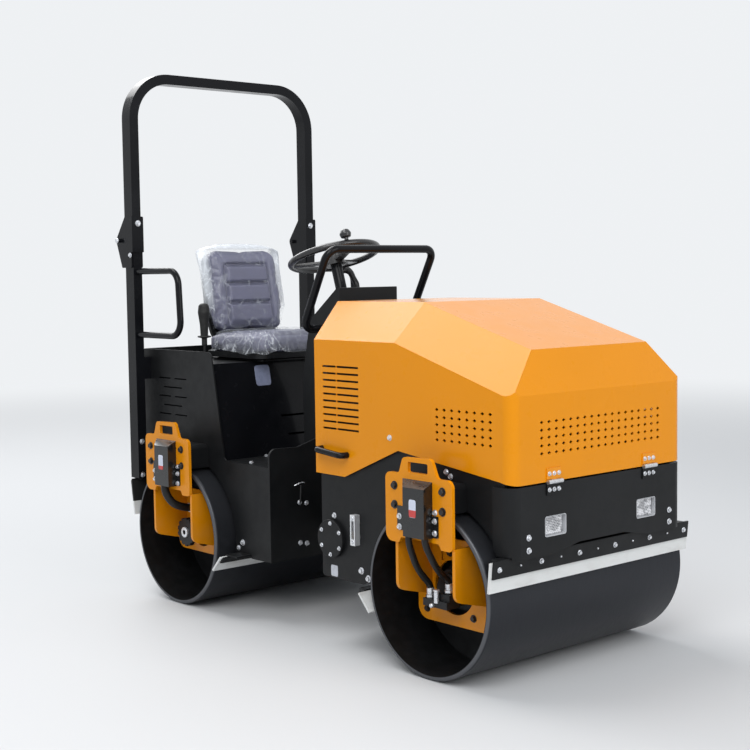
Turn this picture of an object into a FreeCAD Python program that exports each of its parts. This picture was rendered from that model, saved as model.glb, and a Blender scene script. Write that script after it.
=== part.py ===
# Tandem road roller: two smooth drums in a front and a rear frame, joined by an upright centre pin.
# Millimetres. X points forward, Y to the machine's left, Z up; the ground is Z = 0.
import FreeCAD, Part
import math
import os

V = FreeCAD.Vector

# Driving dimensions
wheelbase = 1450.0
front_axle_x = 755.0
pivot_x = -18.0
drum_radius = 280.0
drum_half_width = 480.0
drum_shell = 16.0
drum_edge = 10.0
drum_gap = 16.0
frame_half_width = 413.0
frame_plate = 12.0
hood_half_width = 425.0
hood_sheet = 4.0
hood_side_top = 1074.0
hood_roof = 1204.0
hood_roof_half_width = 285.0
hood_fall = 0.2998
body_half_width = 400.0
body_plate = 6.0
body_top = 1003.0
deck_height = 955.0
floor_height = 585.0
belly_height = 236.0
rops_half_width = 471.0
rops_tube = 40.0
rops_depth = 60.0
rops_top = 2129.0
rops_hinge_height = 1449.0
seat_width = 430.0
wheel_rim_radius = 172.0
running_gap = 0.3

# Places worked out from the driving dimensions
rear_axle_x = front_axle_x - wheelbase
axle_z = drum_radius
fx = front_axle_x
rx = rear_axle_x
nose_x = fx + 322.0
bay_rear_x = pivot_x + 166.0
wall_x = pivot_x - 167.0
tail_x = rx - 335.0
post_x = rx - 311.0

os.makedirs("parts", exist_ok=True)


def save(name, pieces):
    """Writes one node; pieces that do not touch stay separate solids of the same node."""
    solids = []
    for piece in pieces:
        solids += piece.Solids
    shape = solids[0] if len(solids) == 1 else Part.makeCompound(solids)
    shape.exportStep("parts/" + name + ".step")


def box(x0, x1, y0, y1, z0, z1):
    return Part.makeBox(x1 - x0, y1 - y0, z1 - z0, V(x0, y0, z0))


def rod(start, end, radius):
    """Round bar from one point to another."""
    line = V(*end) - V(*start)
    return Part.makeCylinder(radius, line.Length, V(*start), line)


def fuse(pieces):
    whole = pieces[0]
    if len(pieces) > 1:
        whole = whole.fuse(pieces[1:])
    return whole.removeSplitter()


def mirror(shape):
    """The same piece on the other side of the machine."""
    return shape.mirror(V(0, 0, 0), V(0, 1, 0))


def both(shape):
    return [shape, mirror(shape)]


def outline(corners, place):
    """Face of straight edges whose corners (u, v, radius) are rounded; place turns (u, v) into a point."""
    count = len(corners)
    starts = []
    ends = []
    middles = []
    for i in range(count):
        u, v, r = (tuple(corners[i]) + (0.0,))[:3]
        pu, pv = corners[i - 1][:2]
        nu, nv = corners[(i + 1) % count][:2]
        a = V(pu - u, pv - v, 0)
        b = V(nu - u, nv - v, 0)
        here = V(u, v, 0)
        if r <= 0:
            starts.append(here)
            ends.append(here)
            middles.append(None)
            continue
        a.normalize()
        b.normalize()
        half = a.getAngle(b) / 2
        run = r / math.tan(half)
        bisector = (a + b)
        bisector.normalize()
        centre = here + bisector * (r / math.sin(half))
        starts.append(here + a * run)
        ends.append(here + b * run)
        middles.append(centre - bisector * r)
    edges = []
    for i in range(count):
        if middles[i] is not None:
            s, m, e = (place(p.x, p.y) for p in (starts[i], middles[i], ends[i]))
            edges.append(Part.Arc(s, m, e).toShape())
        p = ends[i]
        q = starts[(i + 1) % count]
        if (q - p).Length > 1e-6:
            edges.append(Part.LineSegment(place(p.x, p.y), place(q.x, q.y)).toShape())
    return Part.Face(Part.Wire(edges))


def plate_xz(corners, y0, y1):
    """Plate whose outline lies in the X-Z plane, from y0 to y1."""
    return outline(corners, lambda u, v: V(u, y0, v)).extrude(V(0, y1 - y0, 0))


def plate_yz(corners, x0, x1):
    return outline(corners, lambda u, v: V(x0, u, v)).extrude(V(x1 - x0, 0, 0))


def plate_xy(corners, z0, z1):
    return outline(corners, lambda u, v: V(u, v, z0)).extrude(V(0, 0, z1 - z0))


def bent_wire(points, radius):
    """Straight runs joined by arcs of one radius, as a bent bar has."""
    return bent_path(points, [radius] * (len(points) - 2))


def hose_wire(points):
    """Straight runs joined by the largest arcs that the runs leave room for."""
    radii = []
    for i in range(1, len(points) - 1):
        a = V(*points[i - 1]) - V(*points[i])
        b = V(*points[i + 1]) - V(*points[i])
        turn = math.pi - a.getAngle(b)
        radii.append(0.45 * min(a.Length, b.Length) / math.tan(turn / 2))
    return bent_path(points, radii)


def bent_path(points, radii):
    points = [V(*p) for p in points]
    edges = []
    last = points[0]
    for i in range(1, len(points) - 1):
        corner = points[i]
        a = points[i - 1] - corner
        b = points[i + 1] - corner
        a.normalize()
        b.normalize()
        half = a.getAngle(b) / 2
        run = radii[i - 1] / math.tan(half)
        bisector = a + b
        bisector.normalize()
        middle = corner + bisector * (radii[i - 1] / math.sin(half) - radii[i - 1])
        edges.append(Part.LineSegment(last, corner + a * run).toShape())
        edges.append(Part.Arc(corner + a * run, middle, corner + b * run).toShape())
        last = corner + b * run
    edges.append(Part.LineSegment(last, points[-1]).toShape())
    return Part.Wire(edges)


def bar_along(wire, radius):
    """Round bar along a wire."""
    start = wire.Edges[0].valueAt(wire.Edges[0].FirstParameter)
    ahead = wire.Edges[0].tangentAt(wire.Edges[0].FirstParameter)
    ring = Part.Wire([Part.makeCircle(radius, start, ahead)])
    return wire.makePipeShell([ring], True, True)


# Drums

head_y = 240.0
head_plate = 12.0
hub_radius = 78.0
hub_out = 281.0
shaft_radius = 45.0


def drum(name, x):
    """Rolled shell with open ends, and a plate with a hub set inside each end."""
    reach = drum_half_width
    outer = Part.makeCylinder(drum_radius, 2 * reach, V(x, -reach, axle_z), V(0, 1, 0))
    rims = [e for e in outer.Edges if abs(e.Length - 2 * math.pi * drum_radius) < 1]
    outer = outer.makeFillet(drum_edge, rims)
    inner = Part.makeCylinder(drum_radius - drum_shell, 2 * reach + 2, V(x, -reach - 1, axle_z), V(0, 1, 0))
    save(name + "_shell", [outer.cut(inner)])
    heads = []
    for side in (-1, 1):
        disc = rod((x, side * head_y, axle_z), (x, side * (head_y + head_plate), axle_z), drum_radius - drum_shell)
        hub = rod((x, side * (head_y - 15), axle_z), (x, side * hub_out, axle_z), hub_radius)
        bore = rod((x, side * (head_y - 20), axle_z), (x, side * (hub_out + 1), axle_z),
                   shaft_radius + running_gap)
        heads.append(fuse([disc, hub]).cut(bore))
    save(name + "_heads", heads)


drum("front_drum", fx)
drum("rear_drum", rx)

# Forks: a yellow lifting plate outside each drum end, two cheeks that turn inwards under the shell's
# edge, and an inner plate that carries the drum's buffers

fork_out = 515.0
fork_plate = 12.0
fork_low = 440.0
fork_inner_y = 343.0
carrier_y = 288.0
carrier_plate = 14.0
# Outline of the lifting plate: along, height, corner radius
lifting_outline = [
    (-152, fork_low, 30), (-90, fork_low, 6), (-80, fork_low + 18, 8), (95, fork_low + 18, 8),
    (105, fork_low, 6), (155, fork_low, 16), (155, 662, 24), (89, 662, 14), (63, 722, 18),
    (-69, 718, 18), (-87, 665, 14), (-152, 665, 22),
]
# Window for a hook: along, height, corner radius
lifting_window = [(-44, 672, 5), (47, 672, 5), (47, 705, 5), (-44, 705, 5)]
# Cheek faces along X, from and to
cheeks = [(-116, -104), (145, 157)]
# Forks: half length of the inner plate, its lowest edge below the axle, radius of its hole round the motor,
# half spread of the lower buffers, their height under the axle, lowest height of the cheeks inside and
# outside, rise of the lifting plate
fork_forms = {"front": (172, 126, 90, 120, 82, 240, 282, 0), "rear": (172, 92, 68, 128, 50, 227, 269, 9)}
cheek_out = 506.0
upper_buffer = (120, 110)
slot_width = 7.0


def fork(x, form):
    half, low, hole, spread, drop, cheek_in_z, cheek_out_z, rise = form
    cheek_top = fork_low + 8 + rise
    lift = plate_xz([(x + u, v + rise, r) for u, v, r in lifting_outline], fork_out - fork_plate, fork_out)
    window = [(x + u, v + rise, r) for u, v, r in lifting_window]
    lift = lift.cut(plate_xz(window, fork_out - 30, fork_out + 10))
    inner = plate_xz([(x - half, axle_z - low, 44), (x + half, axle_z - low, 30),
                      (x + half, fork_low, 20), (x - half, fork_low, 20)],
                     fork_inner_y, fork_inner_y + fork_plate)
    inner = inner.cut(rod((x, 300, axle_z), (x, 400, axle_z), hole))
    for u in (-56, 56):
        slot = box(x + u - slot_width / 2, x + u + slot_width / 2, 300, 400, axle_z + 83, axle_z + 133)
        inner = inner.cut(slot)
    pieces = [lift, inner]
    for near, far in cheeks:
        pieces.append(plate_yz([(fork_inner_y, cheek_in_z, 0), (cheek_out, cheek_out_z, 34), (cheek_out, cheek_top, 0),
                                (fork_inner_y, cheek_top, 0)], x + near, x + far))
    return fuse(pieces)


arm_back = -145.0
arm_front = 118.0
arm_low = 550.0
arm_top = 640.0
arm_sheet = 12.0


def fork_arm(x, half_width):
    """Channel from the frame's side out to the lifting plate, over the drum's end, with a bolting plate."""
    back = fork_out - fork_plate
    skin = plate_xz([(x + arm_back, arm_low, 0), (x + arm_front, arm_low, 0), (x + arm_front, arm_top, 16),
                     (x + arm_back, arm_top, 16)], half_width, back)
    hollow = plate_xz([(x + arm_back + arm_sheet, arm_low - 1, 0), (x + arm_front - arm_sheet, arm_low - 1, 0),
                       (x + arm_front - arm_sheet, arm_top - arm_sheet, 5),
                       (x + arm_back + arm_sheet, arm_top - arm_sheet, 5)], half_width - 1, back + 1)
    bolting = plate_xz([(x + arm_back, arm_low - 4, 10), (x + arm_front, arm_low - 4, 10),
                        (x + arm_front, arm_top, 16), (x + arm_back, arm_top, 16)], back - arm_sheet, back)
    return fuse([skin.cut(hollow), bolting])


def drum_mounts(x, form):
    """Rubber buffers, and the carrier plate with its stub shaft in the hub."""
    spread, drop = form[3:5]
    rubbers = []
    for u, v in ((-spread, -drop), (spread, -drop), (-upper_buffer[0], upper_buffer[1]), upper_buffer):
        rubbers.append(rod((x + u, carrier_y + carrier_plate, axle_z + v), (x + u, fork_inner_y, axle_z + v), 30))
    plate = plate_xz([(x - 162, axle_z - drop - 40, 40), (x + 162, axle_z - drop - 40, 40),
                      (x + 160, axle_z + 150, 40), (x - 160, axle_z + 150, 40)],
                     carrier_y, carrier_y + carrier_plate)
    stub = rod((x, head_y - 12, axle_z), (x, carrier_y + 1, axle_z), shaft_radius)
    return rubbers, fuse([plate, stub])


# Drive hoses of the front motor: along, outward, height; the first point is inside the cover
front_hose_routes = [
    [(-20, 536, 600), (-20, 536, 500), (-24, 534, 450), (-40, 484, 356), (-45, 420, 292), (-45, 420, 254)],
    [(48, 536, 600), (48, 536, 500), (52, 532, 450), (50, 482, 366), (28, 408, 314), (28, 408, 278)],
]
# The rear motor's one sleeve of hoses
rear_hose_routes = [
    [(10, 533, 600), (10, 533, 450), (22, 500, 400), (28, 440, 382), (28, 404, 382)],
]
hose_radius = 11.0
sleeve_radius = 15.5
# Ports on the front motor: along, outward, height of the top
front_ports = [(-45, 420, 254), (28, 408, 278)]


def front_motor(x):
    """Piston motor with a flange, a stepped housing and two hose ports."""
    face = carrier_y + carrier_plate
    pieces = [rod((x, face, axle_z), (x, face + 18, axle_z), 80),
              rod((x, face + 18, axle_z), (x, face + 66, axle_z), 62),
              rod((x, face + 66, axle_z), (x, face + 84, axle_z), 50),
              box(x - 60, x + 50, face + 78, face + 138, axle_z - 52, axle_z - 28),
              box(x + 4, x + 52, face + 78, face + 128, axle_z - 30, axle_z - 6)]
    for along, out, top in front_ports:
        pieces.append(rod((x + along, out, axle_z - 40), (x + along, out, top), 15))
    return fuse(pieces)


rotor_radius = 57.0
rotor_teeth = 14


def rear_motor(x):
    """Round motor that ends in a toothed disc with a collar."""
    face = carrier_y + carrier_plate
    disc_y = 415.0
    disc = rod((x, disc_y, axle_z), (x, disc_y + 20, axle_z), rotor_radius)
    for i in range(rotor_teeth):
        turn = 2 * math.pi * i / rotor_teeth
        u = rotor_radius * math.cos(turn)
        v = rotor_radius * math.sin(turn)
        disc = disc.cut(rod((x + u, disc_y - 1, axle_z + v), (x + u, disc_y + 21, axle_z + v), 6))
    collar = rod((x, disc_y + 19, axle_z), (x, disc_y + 26, axle_z), 20)
    bore = rod((x, disc_y + 10, axle_z), (x, disc_y + 27, axle_z), 9)
    pieces = [rod((x, face, axle_z), (x, face + 18, axle_z), 80),
              rod((x, face + 18, axle_z), (x, face + 80, axle_z), 52),
              rod((x, face + 80, axle_z), (x, disc_y + 1, axle_z), 30),
              box(x + 6, x + 50, 360, 404, axle_z + 20, 402), disc, collar]
    return fuse(pieces).cut(bore)


cover_depth = 38.0
cover_sheet = 3.0
cover_low = 473.0
cover_front_top = 630.0
cover_back_top = 650.0
# Ends of the cover along X: at the lifting plate behind, at the face behind, and ahead
cover_foot_x = -70.0
cover_face_x = -29.0
cover_ahead_x = 68.0
# Fixing tabs: from and to along X, lowest and highest
cover_tabs = [(-94, -64, 482, 560), (65, 95, 476, 545)]


def hose_cover(x, rise):
    """Folded cover over the hoses, with a sloping top, one slanting side and a fixing tab on each side."""
    back = fork_out
    out = back + cover_depth
    slant = cover_sheet * math.hypot(cover_face_x - cover_foot_x, cover_depth) / cover_depth

    def shell(inset):
        far = out - inset
        near = back - min(inset, 1)
        section = plate_yz([(near, cover_low - near + back, 0), (far, cover_low - near + back, 0),
                            (far, cover_front_top - inset, 0), (near, cover_back_top - inset, 0)],
                           x + cover_foot_x - 1, x + cover_ahead_x - inset)
        run = (cover_face_x - cover_foot_x) / cover_depth
        shift = slant if inset else 0
        plan = plate_xy([(x + cover_foot_x + shift - run * (back - near), near, 0),
                         (x + cover_face_x + shift - run * inset, far, 0),
                         (x + cover_ahead_x, far, 0), (x + cover_ahead_x, near, 0)], 400, 700)
        return section.common(plan)

    inside = shell(cover_sheet)
    inside = inside.fuse(inside.translated(V(0, 0, -20)))
    pieces = [shell(0).cut(inside)]
    for near_x, far_x, low, high in cover_tabs:
        pieces.append(plate_xz([(x + near_x, low, 4), (x + far_x, low, 4), (x + far_x, high, 4),
                                (x + near_x, high, 4)], back, back + cover_sheet).cut(inside))
    return fuse(pieces).translated(V(0, 0, rise))


def motor_hoses(x, routes, radius):
    hoses = []
    for route in routes:
        hoses.append(bar_along(hose_wire([(x + along, out, height) for along, out, height in route]), radius))
    return hoses


for name, axle, half in (("front", fx, frame_half_width), ("rear", rx, body_half_width)):
    form = fork_forms[name]
    save(name + "_forks", both(fork(axle, form)))
    save(name + "_fork_arms", both(fork_arm(axle, half)))
    rubbers, carrier = drum_mounts(axle, form)
    save(name + "_drum_buffers", rubbers + [mirror(r) for r in rubbers])
    save(name + "_drum_carriers", both(carrier))
    save(name + "_hose_covers", both(hose_cover(axle, form[-1])))
save("front_drum_motors", both(front_motor(fx)))
save("rear_drum_motors", both(rear_motor(rx)))
front_hoses = motor_hoses(fx, front_hose_routes, hose_radius)
save("front_motor_hoses", front_hoses + [mirror(h) for h in front_hoses])
rear_hoses = motor_hoses(rx, rear_hose_routes, sleeve_radius)
save("rear_motor_hoses", rear_hoses + [mirror(h) for h in rear_hoses])

# Front frame

inner_half = frame_half_width - frame_plate
deck_z = axle_z + drum_radius + drum_gap + 4
drum_clear = drum_radius + drum_gap
plate_low = 436.0


def drum_space(x, reach):
    return rod((x, -reach, axle_z), (x, reach, axle_z), drum_clear)


front_side = plate_xz([(bay_rear_x, belly_height, 12), (fx - 388, belly_height, 0), (fx - 305, axle_z, 0),
                 (fx, axle_z, 0), (fx, plate_low, 0), (nose_x - 42, plate_low, 0),
                       (nose_x - 42, 675, 0), (fx + 276, 675, 0), (fx - 190, 732, 0), (fx - 465, 617, 0),
                       (bay_rear_x, 617, 0)], inner_half, frame_half_width)
save("front_side_plates", both(front_side.cut(drum_space(fx, frame_half_width + 10))))

bay = [box(bay_rear_x, bay_rear_x + 12, -inner_half, inner_half, belly_height + 4, 600),
       box(bay_rear_x, fx - 296, -inner_half, inner_half, belly_height + 4, belly_height + 12),
       plate_xy([(fx, -inner_half, 0), (nose_x - 12, -inner_half, 30), (nose_x - 12, inner_half, 30),
                 (fx, inner_half, 0)], deck_z, deck_z + 8)]
front_guard = rod((fx, -inner_half, axle_z), (fx, inner_half, axle_z), drum_clear + 10)
front_guard = front_guard.cut(rod((fx, -inner_half - 1, axle_z), (fx, inner_half + 1, axle_z), drum_clear + 2))
front_guard = front_guard.common(box(fx - 400, fx + 1, -inner_half, inner_half, belly_height + 4, 700))
bay[1] = bay[1].cut(drum_space(fx, frame_half_width))
lug_radius = 48.0
pin_radius = 20.0
for low in (300, 478):
    lug = plate_xy([(bay_rear_x + 1, -95, 0), (bay_rear_x + 1, 95, 0), (pivot_x, lug_radius, 0),
                    (pivot_x, -lug_radius, 0)], low, low + 20)
    bay.append(lug)
    bay.append(rod((pivot_x, 0, low), (pivot_x, 0, low + 20), lug_radius))
bay = fuse(bay + [front_guard])
bay = bay.cut(rod((pivot_x, 0, 280), (pivot_x, 0, 520), pin_radius))
save("front_bay", [bay])
save("centre_pin", [fuse([rod((pivot_x, 0, 288), (pivot_x, 0, 510), pin_radius),
                          rod((pivot_x, 0, 498), (pivot_x, 0, 506), 30)])])

# Round service cover and oil level gauge, on the machine's right only
outer_face = -frame_half_width
cover_x = pivot_x + 225.0
cover_z = 376.0
lid = rod((cover_x, outer_face, cover_z), (cover_x, outer_face - 16, cover_z), 68)
lid_rims = [e for e in lid.Edges if abs(e.Length - 2 * math.pi * 68) < 1 and e.BoundBox.YMin < outer_face - 15]
save("side_service_cover", [lid.makeChamfer(2, lid_rims)])
gauge = box(pivot_x + 346, pivot_x + 370, outer_face - 23, outer_face, 371, 477)
glass = box(pivot_x + 351, pivot_x + 365, outer_face - 24, outer_face - 17, 392, 456)
save("oil_level_gauge", [gauge.cut(glass)])

# Arms that carry the front scraper stand inside the bumper, outward of the work lights
arm_y = frame_half_width - 62.0
bumper_low = 421.0
bumper_top = 645.0
bumper_notch = [(-238, bumper_low - 1, 0), (-112, bumper_low + 22, 10), (112, bumper_low + 22, 10),
                (238, bumper_low - 1, 0)]
skin = plate_xy([(nose_x - 82, -hood_half_width, 0), (nose_x, -hood_half_width, 40), (nose_x, hood_half_width, 40),
                 (nose_x - 82, hood_half_width, 0)], bumper_low, bumper_top)
hollow = plate_xy([(nose_x - 83, -frame_half_width, 0), (nose_x - 12, -frame_half_width, 28),
                   (nose_x - 12, frame_half_width, 28), (nose_x - 83, frame_half_width, 0)],
                  bumper_low - 1, bumper_top + 1)
notch = plate_yz(bumper_notch, nose_x - 20, nose_x + 1)
bar_room = box(nose_x - 90, nose_x - 12, -500, 500, bumper_low - 1, 431)

save("engine_block", [plate_xz([(fx - 345, 640, 0), (fx - 200, deck_z + 8, 0), (fx + 150, deck_z + 8, 0),
                                (fx + 150, 930, 30), (fx + 60, 1010, 30), (fx - 345, 1010, 30)], -190, 190)])

# Work lights set in openings of the bumper: half width, half height, height of the middle, distance to either side
light_half_width = 50.0
light_half_height = 32.5
light_z = 510.5
light_y = arm_y - 125.0
light_corner = 8.0
light_rim = 2.5
light_depth = 30.0
lens_recess = 15.0
lens_depth = 6.0


def light_block(y, rim, x0, x1):
    """Block with the light's front view, less a rim, from x0 to x1."""
    w = light_half_width - rim
    h = light_half_height - rim
    r = light_corner - rim
    return plate_yz([(y - w, light_z - h, r), (y + w, light_z - h, r), (y + w, light_z + h, r),
                     (y - w, light_z + h, r)], x0, x1)


bumper = skin.cut(hollow).cut(notch).cut(bar_room).cut(drum_space(fx, hood_half_width + 10))
housings = []
lenses = []
for y in (-light_y, light_y):
    bumper = bumper.cut(light_block(y, 0, nose_x - 20, nose_x + 1))
    cup = light_block(y, 0, nose_x - light_depth, nose_x)
    housings.append(cup.cut(light_block(y, light_rim, nose_x - lens_recess - lens_depth, nose_x + 1)))
    lenses.append(light_block(y, light_rim, nose_x - lens_recess - lens_depth, nose_x - lens_recess))
save("front_bumper", [bumper])
save("work_lights", housings)
save("work_light_lenses", lenses)

# Scrapers: an angle bar across the frame and a pale blade that just clears the drum
blade_thickness = 8.0
blade_gap = 5.0
bar_plate = 6.0
scraper_half_width = 486.0
flange_half_width = 462.0


def scraper(axle, way, root, tip_turn, lip_width, flange):
    """Bar and blade; root is along and up from the ground, tip_turn the angle round the drum where the
    blade ends, lip_width how far the bar's lip covers the blade's outer face, flange the near and far
    distance and the top of the bar's flat flange."""
    turn = math.radians(tip_turn)
    reach = drum_radius + blade_gap
    tip = V(axle + way * reach * math.cos(turn), 0, axle_z + reach * math.sin(turn))
    top = V(axle + way * root[0], 0, root[1])
    down = tip - top
    down.normalize()
    away = down.cross(V(0, 1, 0)) * way

    def strip(start, end, low, high, half_width):
        corners = [top + down * start + away * low, top + down * end + away * low,
                   top + down * end + away * high, top + down * start + away * high]
        return plate_xz([(p.x, p.z) for p in corners], -half_width, half_width)

    near, far, flange_top = flange
    x0, x1 = sorted((axle + way * near, axle + way * far))
    bar = fuse([box(x0, x1, -flange_half_width, flange_half_width, flange_top - bar_plate, flange_top),
                strip(-bar_plate, lip_width, blade_thickness, blade_thickness + bar_plate, scraper_half_width)])
    return bar, strip(0, (tip - top).Length, 0, blade_thickness, scraper_half_width + 7)


front_bar, front_blade = scraper(fx, 1, (290, 424), 10, 50, (270, 304, 430))
arms = []
for y in (-arm_y, arm_y):
    arms.append(box(fx + 290, nose_x - 12, y - 25, y + 25, 424, 430))
    arms.append(box(nose_x - 20, nose_x - 12, y - 25, y + 25, 424, 560))
back_bar, back_blade = scraper(fx, -1, (318, belly_height - 2), -21.4, 24, (318, 352, belly_height + 4))
save("front_scraper_bars", [fuse([front_bar] + arms), back_bar])
save("front_scraper_blades", [front_blade, back_blade])
front_bar, front_blade = scraper(rx, 1, (318, belly_height - 2), -21, 24, (318, 388, belly_height + 4))
back_bar, back_blade = scraper(rx, -1, (302, 464), 9, 45, (280, 330, 470))
save("rear_scraper_bars", [front_bar, back_bar])
save("rear_scraper_blades", [front_blade, back_blade])

# Hood

hood_low = 651.0


def hood_form(inset, long):
    """Body of the hood: its side view, its section with sloping shoulders and its plan, met in one."""
    back = -long
    side_view = plate_xz([(pivot_x + 152 + back, 604 - long, 0), (fx - 465, 603 - long, 0),
                          (fx - 190, 718 - long, 0), (fx + 276, 661 - long, 0), (nose_x - inset, hood_low - long, 0),
                          (nose_x - inset, 925 - inset, 0), (fx + 276 - inset, 1061 - inset, 0),
                          (fx - 201, hood_roof - inset, 0), (pivot_x + 117 + back, hood_roof - inset, 0),
                          (pivot_x + 152 + back, hood_side_top, 0)], -hood_half_width, hood_half_width)
    sections = []
    for x, drop in ((pivot_x + 60, 0), (fx - 201, 0), (fx + 500, 701 * hood_fall)):
        shoulder = hood_side_top - drop - inset * 0.5
        roof = hood_roof - drop - inset
        half = hood_half_width - inset
        points = [(-half, 400), (-half, shoulder), (-hood_roof_half_width + inset * 0.4, roof),
                  (hood_roof_half_width - inset * 0.4, roof), (half, shoulder), (half, 400)]
        sections.append(Part.Wire(outline(points, lambda u, v, x=x: V(x, u, v)).OuterWire.Edges))
    body = Part.makeLoft(sections, True, True)
    plan = plate_xy([(pivot_x, -hood_half_width + inset, 0), (nose_x - inset, -hood_half_width + inset, 40 - inset),
                     (nose_x - inset, hood_half_width - inset, 40 - inset), (pivot_x, hood_half_width - inset, 0)],
                    400, 1400)
    return side_view.common(body).common(plan)


hood = hood_form(0, 0).cut(hood_form(hood_sheet, 60))

# Side slots: two lengths with a bridge between, in a column of equal steps
slot_rows = 10
slot_first_z = 763.0
slot_step = 24.0
slot_height = 7.0
slot_from_x = pivot_x + 195.0
slot_bridge_x = pivot_x + 268.0
slot_to_x = pivot_x + 387.0
bridge = 3.0
# Diamond holes: half length and half height, then rows of five
diamond_half_length = 8.5
diamond_half_height = 6.2
diamond_rows = 5
side_diamonds = 8
side_diamond_x = fx - 3.0
side_diamond_z = 770.0
side_pitch = (33.7, 24.3)
front_diamonds = 18
front_diamond_z = 741.0
front_pitch = (34.0, 24.3)


def diamond(u, v):
    return [(u - diamond_half_length, v, 0), (u, v - diamond_half_height, 0), (u + diamond_half_length, v, 0),
            (u, v + diamond_half_height, 0)]


openings = []
reach = hood_half_width + 5
for row in range(slot_rows):
    z = slot_first_z + row * slot_step
    for x0, x1 in ((slot_from_x, slot_bridge_x), (slot_bridge_x + bridge, slot_to_x)):
        openings.append(box(x0, x1, -reach, reach, z, z + slot_height))
for row in range(diamond_rows):
    for i in range(side_diamonds):
        u = side_diamond_x + i * side_pitch[0]
        v = side_diamond_z + row * side_pitch[1]
        openings.append(plate_xz(diamond(u, v), -reach, reach))
    for i in range(front_diamonds):
        u = (i - (front_diamonds - 1) / 2) * front_pitch[0]
        v = front_diamond_z + row * front_pitch[1]
        openings.append(plate_yz(diamond(u, v), nose_x - 20, nose_x + 5))
save("hood", [hood.cut(Part.makeCompound(openings))])

grip_out = hood_half_width + 31
grip = bent_wire([(pivot_x + 188, hood_half_width, 692), (pivot_x + 188, grip_out, 692),
                  (pivot_x + 324, grip_out, 680), (pivot_x + 324, hood_half_width, 680)], 16)
save("hood_handles", both(bar_along(grip, 11)))

hinge_x = nose_x + 8.0
hinge_y = 237.0
hinge_radius = 7.0
pin_bore = 3.3
leaves_low = []
leaves_high = []
for centre in (-hinge_y, hinge_y):
    fixed = box(nose_x, nose_x + 4, centre - 33, centre + 33, hood_low - 42, hood_low - 8)
    knuckles = [rod((hinge_x, centre - 33, hood_low), (hinge_x, centre - 11.5, hood_low), hinge_radius),
                rod((hinge_x, centre + 11.5, hood_low), (hinge_x, centre + 33, hood_low), hinge_radius)]
    webs = [box(nose_x, nose_x + 4, centre - 33, centre - 11.5, hood_low - 9, hood_low),
            box(nose_x, nose_x + 4, centre + 11.5, centre + 33, hood_low - 9, hood_low)]
    pin = rod((hinge_x, centre - 33, hood_low), (hinge_x, centre + 33, hood_low), pin_bore - running_gap)
    leaves_low.append(fuse([fixed] + knuckles + webs + [pin]))
    moving = box(nose_x, nose_x + 4, centre - 33, centre + 33, hood_low + 8, hood_low + 42)
    barrel = rod((hinge_x, centre - 11, hood_low), (hinge_x, centre + 11, hood_low), hinge_radius)
    web = box(nose_x, nose_x + 4, centre - 11, centre + 11, hood_low, hood_low + 9)
    leaf = fuse([moving, barrel, web])
    bore = rod((hinge_x, centre - 12, hood_low), (hinge_x, centre + 12, hood_low), pin_bore)
    leaves_high.append(leaf.cut(bore))
save("hood_hinge_frame_leaves", leaves_low)
save("hood_hinge_leaves", leaves_high)

# Rear frame

lean_top_x = rx + 153.0
lean_low_x = rx + 228.0
rear_side = plate_xz([(tail_x, 470, 0), (rx, 470, 0), (rx + 200, belly_height + 4, 0),
                      (rx + 395, belly_height + 4, 0), (rx + 395, belly_height - 10, 0),
                      (wall_x, belly_height - 10, 8), (wall_x, floor_height, 0),
                      (lean_low_x + 12, floor_height, 0), (lean_low_x, floor_height + 12, 0),
                      (lean_top_x, body_top, 26), (tail_x, body_top, 10)],
                     body_half_width - body_plate, body_half_width)
rear_side = rear_side.cut(drum_space(rx, body_half_width + 10))
# Vent slots in the rear side plates: along the axle, from and to, in rows from the top
vent_middle = rx - 122.0
vent_top_z = 888.0
vent_step = 36.5
vent_half_height = 2.5
for row in range(5):
    z = vent_top_z - row * vent_step
    spans = ((-100, -15), (15, 100)) if row % 2 == 0 else ((-66, 66),)
    for low, high in spans:
        vent = box(vent_middle + low, vent_middle + high, body_half_width - 20, body_half_width + 20,
                   z - vent_half_height, z + vent_half_height)
        rear_side = rear_side.cut(vent)
save("rear_side_plates", both(rear_side))

body_inner = body_half_width - body_plate
front_wall = plate_yz([(-body_half_width, belly_height - 10, 0), (body_half_width, belly_height - 10, 0),
                       (body_half_width, 655, 32), (265, 651, 0), (190, 672, 0), (150, 684, 0), (-150, 684, 0),
                       (-190, 672, 0), (-265, 651, 0), (-body_half_width, 655, 32)], wall_x, wall_x + 10)
save("rear_front_wall", [front_wall])
yoke_block = plate_xy([(wall_x + 10, -90, 0), (wall_x + 10, 90, 0), (pivot_x, 46, 0), (pivot_x, -46, 0)], 322, 476)
yoke_block = fuse([yoke_block, rod((pivot_x, 0, 322), (pivot_x, 0, 476), 46)])
yoke_block = yoke_block.cut(rod((pivot_x, 0, 300), (pivot_x, 0, 500), pin_radius + running_gap))
save("centre_joint_yoke", [yoke_block])

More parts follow.
